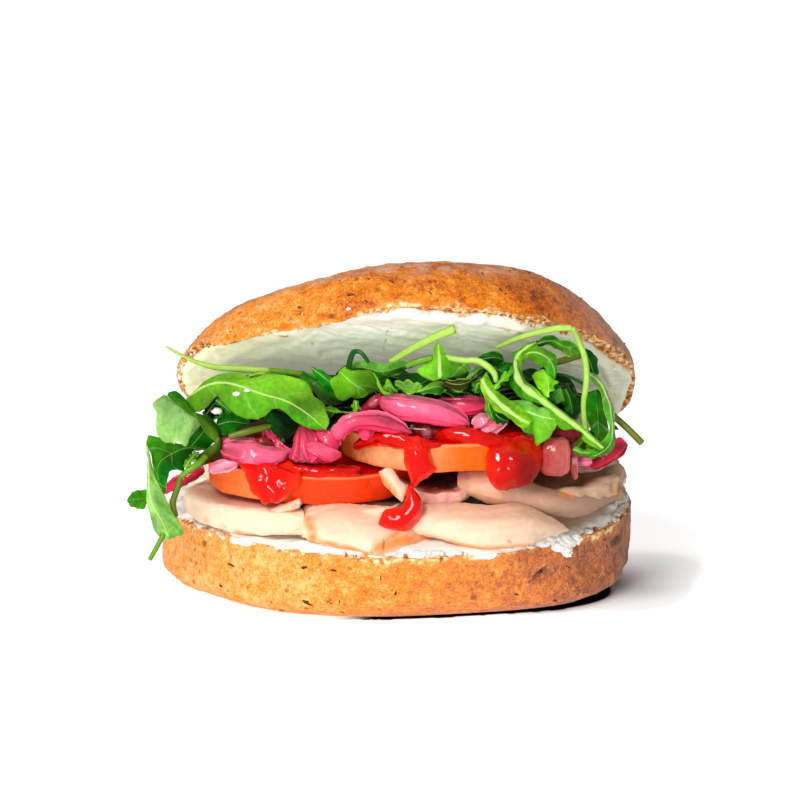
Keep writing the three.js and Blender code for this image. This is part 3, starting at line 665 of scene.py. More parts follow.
def leaf_material():
    """Rocket leaf: a cool waxy green, each leaf's tint with its painted light and shade, with a thin pale
    midrib, fine paler side veins that run off it and a painted highlight along the rim. The vein attribute is
    in millimetres along them; from_rib and from_rim are millimetres across the leaf, and rib and rim the
    widths of those two lines."""
    material, shader, add = new_material("rocket_leaf_blade")
    at = add("TexCoord")["Object"]
    tint = add("Attribute", attribute_name="tint")["Color"]
    names = ("vein", "from_rib", "from_rim", "rib", "rim")
    vein_at, from_rib, from_rim, rib, rim = (
        add("Attribute", attribute_name=name)["Fac"] for name in names
    )
    spacing = add("Math", {0: vein_at, 1: 1 / VEIN_SPACING}, operation="MULTIPLY")[0]
    wander = add("TexNoise", {"Vector": at, "Scale": per(4), "Detail": 2.0})["Fac"]
    shifted = add("Math", {0: wander, 1: 0.5, 2: spacing}, operation="MULTIPLY_ADD")[0]
    fraction = add("Math", {0: shifted, 1: 1.0}, operation="PINGPONG")[0]
    vein = add("MapRange", {"Value": fraction, "From Max": 0.08, "To Min": 0.26, "To Max": 0.0})[0]
    cells = add("TexNoise", {"Vector": at, "Scale": per(0.9), "Detail": 3.0})["Fac"]
    levels = {"From Min": 0.3, "From Max": 0.7, "To Min": 0.82, "To Max": 1.18}
    tone = add("MapRange", {"Value": cells, **levels})[0]
    varied = add("VectorMath", {0: tint, "Scale": tone}, operation="SCALE")[0]
    pale = (*to_linear("#E6F5B4"), 1)
    lighter = add("Mix", {0: 0.55, UNDER: tint, OVER: pale}, data_type="RGBA")[MIXED]
    blade = add("Mix", {0: vein, UNDER: varied, OVER: lighter}, data_type="RGBA")[MIXED]
    # the second line is a painted highlight along the rim
    for width, away, strength, colour in ((rib, from_rib, 0.62, "#D0EC8C"), (rim, from_rim, 0.42, "#98D42C")):
        inside = add("Math", {0: width, 1: away}, operation="SUBTRACT")[0]
        share = add("MapRange", {"Value": inside, "From Max": 0.14, "To Max": strength})[0]
        line = (*to_linear(colour), 1)
        blade = add("Mix", {0: share, UNDER: blade, OVER: line}, data_type="RGBA")[MIXED]
    height = add("Math", {0: cells, 1: 0.5, 2: vein}, operation="MULTIPLY_ADD")[0]
    set_inputs(shader, {
        "Base Color": blade,
        "Normal": add("Bump", {"Height": height, "Strength": 0.7, "Distance": 0.35 * MM})[0],
        "Roughness": 0.36,
        "Specular IOR Level": 0.14,
        "Subsurface Weight": 0.1,
        "Subsurface Radius": (0.3, 1.0, 0.1),
        "Subsurface Scale": 0.6 * MM,
    })
    return material


# Settings


def colour_property(name, description, hex_colour):
    """A colour setting with its sRGB hex default."""
    return FloatVectorProperty(
        name=name, description=description, subtype="COLOR", size=3, min=0, max=1,
        default=to_linear(hex_colour),
    )


def length_property(name, description, millimetres):
    """A length setting in metres, from its default in millimetres."""
    return FloatProperty(
        name=name, description=description, unit="LENGTH", default=millimetres * MM, precision=4,
    )


class SandwichSizes(PropertyGroup):
    """Sizes of the looks"""

    crust_relief: length_property("Crust relief", "How far the crust's bumps stand out", 0.42)
    spread_relief: length_property("Knife marks", "Depth of the knife's marks in the spread", 0.5)
    leaf_thickness: length_property("Leaf thickness", "Thickness of a rocket leaf's blade", 0.45)
    seed_length: length_property("Seed length", "Length of a seed in the crust", 2.6)
    crumb_size: length_property("Crumb size", "Size of a loose crumb", 0.8)


class SandwichColours(PropertyGroup):
    """Colours of the looks"""

    crust_light: colour_property("Crust, lightest", "Where the crust is hardly browned", "#FFBC72")
    crust_golden: colour_property("Crust, golden", "Where the crust is golden", "#F48E1C")
    crust_brown: colour_property("Crust, brown", "Where the crust is well browned", "#D26812")
    crust_dark: colour_property("Crust, darkest", "Where the crust is darkest", "#7C340E")
    # Pale flecks of the crust, partly painted glints
    crust_fleck: colour_property("Crust fleck", "Pale grain in the crust", "#FFD28C")
    # The colour of the crust's painted sheen, which stands in for reflected light
    crust_bloom: colour_property("Crust bloom", "Flour left on the crust", "#FADCC4")
    bran: colour_property("Bran", "Flecks of bran", "#9A4A10")
    crumb_light: colour_property("Crumb, light", "Torn bread at the cut", "#FFE2B0")
    crumb_brown: colour_property("Crumb, brown", "Toasted crumb at the cut", "#EEA656")
    crumb_dark: colour_property("Crumb, dark", "Pores in the torn bread", "#B86420")
    seed: colour_property("Seed", "Linseed in the crust", "#6A3214")
    spread: colour_property("Spread", "Cream cheese", "#FBF7EC")
    sauce: colour_property("Sauce", "Tomato sauce", "#CC0600")
    floor: colour_property("Floor", "Pale studio floor", "#CBCBCB")


# Bagel halves

BOTTOM_SHAPE = {"rise": BOTTOM_RISE, "squareness": 3.8, "flat": 0.96, "bulge": 1.2}
TOP_SHAPE = {"rise": TOP_RISE, "squareness": 1.92, "flat": 1.0, "bulge": 0.0}
BOTTOM_TUCK = 0.155
# The lower half's cut rim stands up: everywhere, by how much more at one place, where in degrees and how wide
RAISED_RIM = (0.2, 1.2, -137, 17)
# The upper half's rim hangs lower at two places: how far, and the angles in degrees where that starts, is
# full, is full for the last time and ends. Its left end is pulled in by END_PULL.
LEFT_LIP = (3.8, -88, -110, -134, -152)
RIGHT_LIP = (2.8, 44, 30, 10, -4)
END_PULL = 1.7
# Where the crown and the foot are fuller than a round, in millimetres: how much, where and how wide
CROWN_FULLNESS = ((2.7, 34.0, 14.0), (1.4, 25.0, 14.0), (-0.9, -29.0, 12.0))
FOOT_FULLNESS = ((5.7, -41, 26), (4.9, -122, 40), (2.1, -163, 22))
CRUST_STEPS = 164
CUT_STEPS = 26
CRUST_TURNS = 500


def half_section(rise, squareness, flat, bulge):
    """The closed outline of half a bagel's section as rows of radius, height and distance from the outer cut
    edge: a super-ellipse from the hole's edge over to the outer edge, then straight back along the cut."""
    angle = np.linspace(0, np.pi, 3000)
    middle, half = (BAGEL_RADIUS + HOLE_RADIUS) / 2, (BAGEL_RADIUS - HOLE_RADIUS) / 2
    height = np.minimum(rise, rise / flat * np.abs(np.sin(angle)) ** (2 / squareness))
    outward = -half * signed_power(np.cos(angle), 2 / squareness)
    swell = np.where(outward > 0, bulge * np.sin(np.pi * height / rise), 0)
    crust = evenly(np.column_stack([middle + outward + swell, height]), CRUST_STEPS)
    step = np.linalg.norm(crust[1] - crust[0])
    from_edge = step * np.arange(CRUST_STEPS)[::-1]
    across = np.linspace(BAGEL_RADIUS, HOLE_RADIUS, CUT_STEPS + 2)[1:-1]
    cut = np.column_stack([across, np.zeros(CUT_STEPS), np.zeros(CUT_STEPS)])
    return np.concatenate([np.column_stack([crust, from_edge]), cut])


def front_heavy_turns(count):
    """Angles round the bagel, closer together at the front, where the picture looks: even ones, each moved
    on by a share of its cosine."""
    even = np.linspace(0, 2 * np.pi, count, endpoint=False)
    return even + 0.3 * np.cos(even)


def tilted(points):
    """From lying at the origin to the upper half's propped-open place."""
    return turned(points, 0, -np.degrees(OPENING)) + TOP_CENTRE


def degrees_from(where, x, y):
    """How far round a place lies from an angle, in degrees, the short way."""
    return np.degrees(np.angle(np.exp(1j * (np.arctan2(y, x) - np.radians(where)))))


def lip_drop(x, y, lip):
    """How far the upper half's rim hangs down at a place."""
    much, start, full, last, end = lip
    turn = -np.degrees(np.arctan2(y, x))
    return much * smooth(turn, -start, -full) * (1 - smooth(turn, -last, -end))


def pulled_in(x):
    """The upper half's left end, a little nearer the middle."""
    return x + END_PULL * smooth(-x, 40, 54)


def crust_relief(points, depth, seed):
    """Heights of the crust's skin in millimetres: slow swells, a fine pebbling, round blisters where a noise
    is high, shallow dimples round the marks of a third of the cells, and thin cracks where two cells meet."""
    swell = 0.8 * noise(points, 11, seed) + 0.5 * noise(points, 5, seed + 1)
    swell = swell + 0.35 * noise(points, 2.3, seed + 2)
    near, second, value = marks(points, 7.5, seed + 3)
    dimple = -1.1 * (value > 0.62) * (1 - smooth(near, 0.1, 0.34))
    crack_line = 1 - smooth(second - near, 0.0, 0.05)
    crack = -0.7 * crack_line * smooth(noise(points, 16, seed + 7), 0.15, 0.5)
    pebble = 0.45 * noise(points, 1.5, seed + 8)
    blister = 0.6 * smooth(noise(points, 3.4, seed + 9), 0.35, 0.8)
    return depth * (swell + dimple + crack + pebble + blister)


def bottom_form(radius, height, angle):
    """Places on the lower half: not quite round, fuller at places near its foot and with its rim raised."""
    x, y = radius * np.cos(angle), radius * np.sin(angle)
    share = height / BOTTOM_RISE + 0 * angle
    lumpy = np.where((share > 0.02) & (share < 0.98), 0.5 * unevenness(x, -y, height, 34), 0)
    outer = smooth(radius, 20, 50)
    stretch = 1 + outer * lumpy / radius
    x = x * stretch - 0.8 * outer * np.sin(np.pi * share)
    y = y * stretch * (1 - BOTTOM_TUCK * outer * share**2)
    low = smooth(share, 0.35, 0.85) * outer
    for much, where, wide in FOOT_FULLNESS:
        push = much * low * hill(degrees_from(where, x, y), wide)
        x, y = x + push * np.cos(np.radians(where)), y + push * np.sin(np.radians(where))
    everywhere, more, where, wide = RAISED_RIM
    rim = everywhere + more * hill(degrees_from(where, x, y), wide)
    rim = rim * smooth(radius, 51.8, 53.6) * (1 - smooth(height, 0.2, 3.0))
    return np.stack([x, y, BOTTOM_RISE - height + rim], axis=-1)


def top_form(radius, height, from_edge, angle, on_crust):
    """Places on the upper half: its crown fuller to the right, its rim hanging lower at two places."""
    x, y = radius * np.cos(angle), radius * np.sin(angle)
    share = height / TOP_RISE + 0 * angle
    across = x / BAGEL_RADIUS
    z = height + share * (1.9 * across - 4.3 * across**2 + 0.8 * unevenness(x, y, height, 40))
    for much, where, wide in CROWN_FULLNESS:
        z = z + share * much * hill(x - where, wide)
    near_rim = np.where(on_crust, 1 - smooth(from_edge, 2, 10), hill(BAGEL_RADIUS - radius, 2.2))
    z = z - (lip_drop(x, y, LEFT_LIP) + lip_drop(x, y, RIGHT_LIP)) * near_rim
    x = x * (1 + 0.6 * share * unevenness(y, x, z, 30) / radius)
    return tilted(np.stack([pulled_in(x), y, z], axis=-1))


def torn_crumb(which, grid, from_edge, on_crust):
    """Share of torn crumb at each place: all of the cut, a ragged rim beside it, and flakes over the left of
    the upper half's rim."""
    torn = from_edge + 1.3 * noise(grid, 4.0, 31) + 0.7 * noise(grid, 1.1, 32)
    crumb = np.where(on_crust, 1 - smooth(torn, 0.0, 1.2), 1.0)
    flaky = smooth(noise(grid * (1, 1, 1.8), 2.6, 35), 0.3, 0.55)
    flaky = flaky * (1 - smooth(from_edge, 4, 11)) * (which == "top")
    return np.maximum(crumb, 0.75 * flaky * on_crust * (1 - smooth(grid[..., 0], -30, -12)))


def browning(which, grid, normals, centre):
    """How well baked the crust is, with painted shade: darker to the right on both halves and at the lower
    half's foot, with blotches on the upper one. Also a painted sheen, on the upper half's crest and right,
    and faintly on the lower half's right."""
    x, _, z = np.moveaxis(grid, -1, 0)
    if which == "bottom":
        rightwards = 0.5 + 0.5 * np.cos(np.arctan2(grid[..., 1] - centre[1], x) + 0.15)
        bake = 0.2 + 0.27 * smooth(x, -38, 15) + 0.36 * smooth(rightwards, 0.65, 1.0)
        # darker at the foot, as painted shade
        return bake + 0.12 * (1 - smooth(z, 0, 5)), 0.02 + 0.07 * smooth(rightwards, 0.5, 0.95)
    blotch = 0.16 * smooth(noise(grid, 9, 36), 0.1, 0.7) + 0.12 * smooth(noise(grid, 3.4, 37), 0.2, 0.8)
    bake = 0.34 + 0.12 * smooth(x, -34, -4) + 0.22 * smooth(x, 5, 50) + blotch
    crest = smooth(normals[..., 2], 0.88, 1.0)
    return bake, 0.36 * crest * smooth(noise(grid, 2.6, 38), -0.6, 0.7) + 0.2 * smooth(x, 30, 52)


@functools.lru_cache(maxsize=None)
def bagel_half(which, relief):
    """One half of the bagel: its grid and normals, where it is crust, and its browning with painted shade,
    crumb and painted sheen.
    """
    shape = BOTTOM_SHAPE if which == "bottom" else TOP_SHAPE
    radius, height, from_edge = (column[:, None] for column in half_section(**shape).T)
    angle = front_heavy_turns(CRUST_TURNS)[None, :]
    on_crust = np.arange(len(radius))[:, None] + 0 * angle < CRUST_STEPS
    if which == "bottom":
        grid, centre = bottom_form(radius, height, angle), np.array([0, 0, BOTTOM_RISE / 2])
    else:
        grid, centre = top_form(radius, height, from_edge, angle, on_crust), TOP_CENTRE
    normals = rings_normals(grid, closed=True)
    outermost = CRUST_STEPS * 3 // 4
    if np.sum(normals[outermost] * (grid[outermost] - centre)) < 0:
        normals = -normals
    crumb = torn_crumb(which, grid, from_edge, on_crust)
    heights = crust_relief(grid, relief, 11 if which == "bottom" else 41)
    ragged = crumb * (0.35 * noise(grid, 1.5, 33) + 0.25 * noise(grid, 0.8, 34))
    at_base = smooth(grid[..., 2], 0.3, 2.5) if which == "bottom" else 1.0
    heights = np.where(on_crust, heights * (1 - 0.6 * crumb) + ragged, 0.4 * ragged) * at_base
    grid = grid + (heights - 0.15)[..., None] * normals
    grid[..., 2] = np.maximum(grid[..., 2], 0.02)
    bake, bloom = browning(which, grid, normals, centre)
    for line, width, depth in CREASES[which]:
        crease = near_line(grid, line, width) * on_crust * (normals[..., 1] < 0)
        grid = grid - (depth * crease)[..., None] * normals
        # painted shade in the creases
        bake = bake + 0.5 * depth * crease
    return grid, normals, on_crust, {"bake": bake, "crumb": crumb, "bloom": bloom}


class SANDWICH_OT_bagel(Operator):
    """Builds the two halves of the bagel"""

    bl_idname = "sandwich.bagel"
    bl_label = "Bagel halves"

    def execute(self, context):
        sizes, colours = context.scene.sandwich_sizes, context.scene.sandwich_colours
        material = crust_material(colours)
        for which in ("bottom", "top"):
            grid, _, _, values = bagel_half(which, sizes.crust_relief / MM)
            skin = Skin()
            skin.add(grid, closed=True, **values)
            skin.piece(f"bagel_{which}_crust", material, "crust", f"bagel_{which}")
        return {"FINISHED"}


# Seeds, pits and cracks that the photograph shows: (across, down) and, for a seed, its length in millimetres
SEEDS_SEEN = {
    "top": ((353, 295, 2.2), (365, 302, 1.8), (370, 278, 2.0), (390, 281, 1.6), (301, 307, 2.0)),
    "bottom": (
        (231, 564, 2.4), (304, 567, 2.6), (306, 603, 3.0), (196, 578, 2.0), (221, 586, 1.6), (375, 615, 2.4),
        (333, 571, 1.8), (541, 573, 2.4),
    ),
}
CREASES = {
    "top": (([(203, 321), (207, 324)], 4, 1.2), ([(205, 343), (209, 347)], 4, 1.2)),
    "bottom": (
        ([(470, 590), (492, 585), (520, 584), (545, 578)], 2.5, 0.25),
        ([(536, 577), (545, 569)], 3.5, 0.9),
        ([(614, 543), (620, 537)], 4, 1.2),
    ),
}


class SANDWICH_OT_seeds(Operator):
    """Strews linseed over both crusts, half sunk in"""

    bl_idname = "sandwich.seeds"
    bl_label = "Seeds"

    def execute(self, context):
        sizes, colours = context.scene.sandwich_sizes, context.scene.sandwich_colours
        material = plain_material("linseed_hull", colours.seed, 0.4, 0.8, 0.3)
        random = np.random.default_rng(7)
        skin = Skin()
        for which, count in (("bottom", 150), ("top", 190)):
            grid, normals, on_crust, _ = bagel_half(which, sizes.crust_relief / MM)
            rows = random.integers(8, CRUST_STEPS - 5, count)
            columns = random.integers(0, CRUST_TURNS, count)
            lengths = sizes.seed_length / MM * random.uniform(0.25, 0.65, count)
            spots = list(zip(rows, columns, lengths, random.uniform(0, np.pi, count)))
            facing = on_crust & (normals[..., 1] < 0)
            for across, down, length in SEEDS_SEEN[which]:
                away = np.linalg.norm(shown_at(grid) - (across, down), axis=-1)
                row, column = np.unravel_index(np.argmin(np.where(facing, away, np.inf)), away.shape)
                spots.append((row, column, length, random.normal(0, 0.3)))
            for row, column, length, turn in spots:
                place, outward = grid[row, column], normals[row, column]
                if place[2] < 1.5:
                    continue
                first = unit(np.cross(outward, [0.3, 0.2, 1.0]))
                along = first * np.cos(turn) + np.cross(outward, first) * np.sin(turn)
                half = 0.5 * length
                width = half * random.uniform(0.22, 0.4)
                axes = np.array([along * half, np.cross(outward, along) * width, outward * 0.36])
                skin.add(lump(place - 0.16 * outward, axes, 6, 8, 0.25, int(row)))
        skin.piece("crust_seeds", material, "crust")
        return {"FINISHED"}


# Spread

# A dollop of spread on the right of the rim, with a peak, that runs a little way down the crust: places in
# the photograph, with their depth, and sizes in millimetres
DOLLOP = (
    (541, 543, -44.0, 1.2), (546, 540, -43.4, 1.4), (551, 537, -42.6, 1.3), (554, 533, -41.8, 0.9),
    (558, 538, -41.6, 1.5), (564, 542, -41.6, 1.5), (570, 541, -40.0, 1.4), (577, 539, -38.6, 1.2),
    (559, 546, -42.6, 1.4), (564, 550, -42.6, 1.1), (568, 554, -42.4, 0.8),
)
# Strokes of the knife in the upper spread: the line in the photograph, its width in pixels and how far it
# stands out in millimetres
KNIFE_STROKES = (
    ([(296, 330), (308, 345), (326, 360)], 7, 0.7),
    ([(316, 330), (330, 342), (352, 352)], 9, -0.5),
    ([(452, 322), (462, 334), (467, 352)], 6, 0.6),
    ([(222, 360), (262, 341), (318, 322)], 10, 0.4),
    ([(350, 318), (400, 322), (446, 318)], 8, 0.35),
    ([(590, 352), (604, 366), (612, 384)], 7, 0.6),
)
# Where bread shows through the upper spread near its rim
BREAD_PATCHES = (
    ([(288, 328), (302, 328)], 5), ([(272, 338), (286, 336)], 4), ([(460, 316), (486, 323)], 4),
    ([(500, 328), (520, 334)], 4), ([(312, 343), (320, 352)], 2.5), ([(384, 350), (387, 331)], 2),
)
# Each spread's outer radius, thickness, the waves of its outer edge as rows of size, count and turn, its
# seed, the knife's heading in degrees and its number of rings
LOWER_SPREAD = {
    "outer": 53.1, "thickness": 2.1, "waves": ((0.5, 5, 0), (0.4, 11, 1)),
    "seed": 61, "knife": 12, "rings": 172,
}
UPPER_SPREAD = {
    "outer": 52.3, "thickness": 1.9, "waves": ((0.5, 4, 2), (0.4, 9, 0)),
    "seed": 71, "knife": -34, "rings": 230,
}
# Lumps of spread along the lower rim
LIP_LUMPS = 260


def spread_ring(relief, outer, thickness, waves, seed, knife, rings):
    """A spread round the hole, lying from height 0 to its thickness, as rings of a closed section. Its outer
    edge wanders and its upper face has knife marks: noise drawn out along the knife's way."""
    inner = HOLE_RADIUS + 2
    corners = [
        (inner, 0.3 * thickness), (inner + 0.6, 0), (outer - 0.3, 0), (outer, 0.35 * thickness),
        (outer - 0.3, 0.8 * thickness), (outer - 1.2, thickness), (inner + 2, thickness),
        (inner, 0.3 * thickness),
    ]
    section = evenly(np.array(corners), rings)[:-1]
    radius, height = section[:, :1], section[:, 1:]
    angle = front_heavy_turns(400)[None, :]
    circle = np.stack([radius * np.cos(angle), radius * np.sin(angle), height + 0 * angle], axis=-1)
    edge = smooth(radius, outer - 9, outer)
    waved = sum(size * np.sin(count * angle + turn) for size, count, turn in waves)
    wander = waved + 1.1 * noise(circle, 6, seed) + 0.7 * noise(circle, 2.4, seed + 1)
    out = radius + edge * wander
    grid = np.stack([out * np.cos(angle), out * np.sin(angle), height + 0 * angle], axis=-1)
    heading = np.radians(knife)
    along = grid[..., 0] * np.cos(heading) + grid[..., 1] * np.sin(heading)
    across = -grid[..., 0] * np.sin(heading) + grid[..., 1] * np.cos(heading)
    drawn = np.stack([along / 5, across, 0 * along], axis=-1)
    marks_high = noise(drawn, 3.0, seed + 2) + 0.6 * noise(drawn, 1.3, seed + 3)
    lumps = noise(grid, 4, seed + 4) + 0.5 * noise(grid, 1.6, seed + 5)
    upper = smooth(height, 0.5 * thickness, 0.95 * thickness)
    grid[..., 2] += upper * relief * (0.8 * marks_high + 0.6 * lumps)
    return grid


def lower_spread(relief):
    """The spread on the lower half, which sinks at its edge and runs over the rim at one place in front."""
    grid = spread_ring(relief, **LOWER_SPREAD)
    grid[..., 2] += BOTTOM_RISE - 0.05
    radius = np.linalg.norm(grid[..., :2], axis=-1)
    runs_over = hill(degrees_from(-73, grid[..., 0], grid[..., 1]), 15) * smooth(radius, 49, 53)
    grid[..., :2] *= (1 + 0.016 * runs_over)[..., None]
    grid[..., 2] -= 0.4 * smooth(radius, 51.0, 55.0) + 0.7 * runs_over
    return grid


def upper_spread(relief):
    """The spread under the upper half, which hangs lower where the rim does, with the knife's strokes."""
    grid = spread_ring(relief, **UPPER_SPREAD)
    grid[..., 1:] *= -1
    grid[..., 2] += 0.05
    hanging = lip_drop(grid[..., 0], grid[..., 1], RIGHT_LIP)
    grid[..., 2] -= 0.9 * hanging * smooth(np.linalg.norm(grid[..., :2], axis=-1), 42, 52)
    grid[..., 0] = pulled_in(grid[..., 0])
    grid = tilted(grid)
    for line, width, height in KNIFE_STROKES:
        stroke = near_line(grid, line, width) * (grid[..., 1] < 5)
        grid = grid + (height * stroke)[..., None] * (0, -np.sin(OPENING), -np.cos(OPENING))
    return grid


def upper_spread_values(grid, colour):
    """The upper spread's tint and painted glow: painted warm light on the left, painted shade on the right, a
    painted green reflection over the leaves, bread showing through, and a painted glow where it lies inwards."""
    x, y, _ = np.moveaxis(grid, -1, 0)
    warm, dull, bready = tones("#FFEFD0", "#EADED8", "#D2A06C")
    tint = blend(colour, warm, 1 - smooth(x, -40, -12))
    tint = blend(tint, dull, smooth(x, 18, 44))
    # darker towards the right, as painted shade
    tint = tint * (1 - 0.08 * smooth(x, -30, 0))[..., None]
    green = (0.36 + 0.16 * smooth(x, -8, 16)) * smooth(y, -46, -30)
    tint = tint * (1 - green[..., None] * (0.3, 0.0, 0.45))
    patch = smooth(noise(grid, 1.4, 78) + 0.5 * noise(grid, 0.6, 79), 0.1, 0.35)
    patch = patch * sum(near_line(grid, line, width) for line, width in BREAD_PATCHES)
    patch = patch + 0.7 * smooth(noise(grid, 0.9, 80), 0.5, 0.7) * smooth(x, 34, 48)
    patch = np.clip(patch, 0, 1)
    inwards = smooth(y, -50, -26) * (1 - smooth(y, 0, 25)) * (1 - 0.6 * smooth(x, 10, 30))
    return {"tint": blend(tint, bready, 0.85 * patch), "glow": 0.26 * inwards * (1 - patch)}


class SANDWICH_OT_spread(Operator):
    """Spreads the cream cheese on both cut faces"""

    bl_idname = "sandwich.spread"
    bl_label = "Cream cheese"

    def execute(self, context):
        relief = context.scene.sandwich_sizes.spread_relief / MM
        colour = tuple(context.scene.sandwich_colours.spread)
        material = plain_material(
            "soft_cream_cheese", colour, 0.5, 2.2, 0.03, 0.3,
            Subsurface_Weight=0.25, Subsurface_Radius=(1.0, 0.9, 0.75), Subsurface_Scale=1.2 * MM,
        )
        skin = Skin()
        skin.add(lower_spread(relief), closed=True)
        random = np.random.default_rng(41)
        for number in range(LIP_LUMPS):
            angle = random.uniform(-np.pi, 0) if number % 4 else random.uniform(0, np.pi)
            out = 53.0 - abs(random.normal(0, 1.0))
            size = random.uniform(0.5, 1.6)
            axes = np.diag([size * random.uniform(0.6, 1.1), size * 1.5, 0.45 * size])
            place = (out * np.cos(angle), out * np.sin(angle), BOTTOM_RISE + random.uniform(0.1, 1.0))
            skin.add(lump(place, turned(axes, 2, -np.degrees(angle)), 9, 12, 0.35, number))
        for across, down, depth, size in DOLLOP:
            skin.add(lump(seen((across, down, depth)), size * np.diag([1.3, 0.9, 0.9]), 12, 16, 0.55, across))
        skin.piece("cream_bottom_spread", material, "cream_cheese", "cream_bottom")
        # The upper spread glows by its glow attribute, a painted light where no lamp is
        glowing = tinted_material(
            "cream_cheese_painted_glow", 0.5, 1.6, 0.05, 0.5, Emission_Color=(0.99, 1.0, 0.76, 1.0),
        )
        strength = add_node(glowing, "Attribute", attribute_name="glow")["Fac"]
        set_inputs(glowing.node_tree.nodes["Principled BSDF"], {"Emission Strength": strength})
        skin = Skin()
        grid = upper_spread(relief)
        skin.add(grid, closed=True, **upper_spread_values(grid, np.array(colour)))
        skin.piece("cream_top_spread", glowing, "cream_cheese", "cream_top")
        return {"FINISHED"}


# Chicken

FLAT_ON_SPREAD = BOTTOM_RISE + GAP + CREAM + 0.2
# SHADED is painted shade that darkens the slices towards the right
CHICKEN_TOP, CHICKEN_SIDE, BROWNED, SHADED = "#EEC0A0", "#F8DABA", "#F09040", "#A07252"
# Slices that lie in the sandwich: half length, half width and thickness, place and heading. Some are cut off
# by a plane (its direction and distance), bent up (see slice_bend), grainy or of other colours; right_upper's
# dark top is painted shade.
CHICKEN = (
    {
        "node": "front_left", "size": (20, 13.5, 6.6), "at": (-31, -28.8, FLAT_ON_SPREAD), "heading": -42,
        "cuts": [((0.95, 0.3, 0), -33.6)], "browned": [([(236, 533), (270, 541), (303, 545)], 5)],
    },
    {"node": "middle", "size": (24, 17, 5.8), "at": (-3, -17, FLAT_ON_SPREAD), "heading": 8},
    {
        "node": "back_right", "size": (17, 16, 5.8), "at": (36, -5, FLAT_ON_SPREAD), "heading": 15,
        "cuts": [((0.75, 0, 0.66), 53.6)],
    },
    {"node": "back_left", "size": (20, 14, 5.2), "at": (-27, 9, FLAT_ON_SPREAD), "heading": -14},
    {"node": "back", "size": (19, 9.5, 4.2), "at": (8, 21.5, FLAT_ON_SPREAD), "heading": 4},
    {
        "node": "right_upper", "size": (18.5, 12, 5.5), "at": (32, -28, 23.6), "heading": -4,
        "top": "#7A4E3A", "grainy": 0.45, "bend": (0.011, 3, 0.08, -12),
        "browned": [([(556, 493), (572, 496)], 4)],
    },
    {
        "node": "right_high", "size": (13, 10, 4.6), "at": (38, -4, 26.2), "heading": 28,
        "bend": (0.012, 0, -0.02, 0),
    },
    {
        "node": "inner_fold", "size": (9.5, 9, 3.4), "at": (8, -33.5, 25.4), "heading": 12, "top": "#E0907C",
        "side": "#F4B8A4", "grainy": 0.4, "bend": (0.03, 0, 0, 0),
    },
)
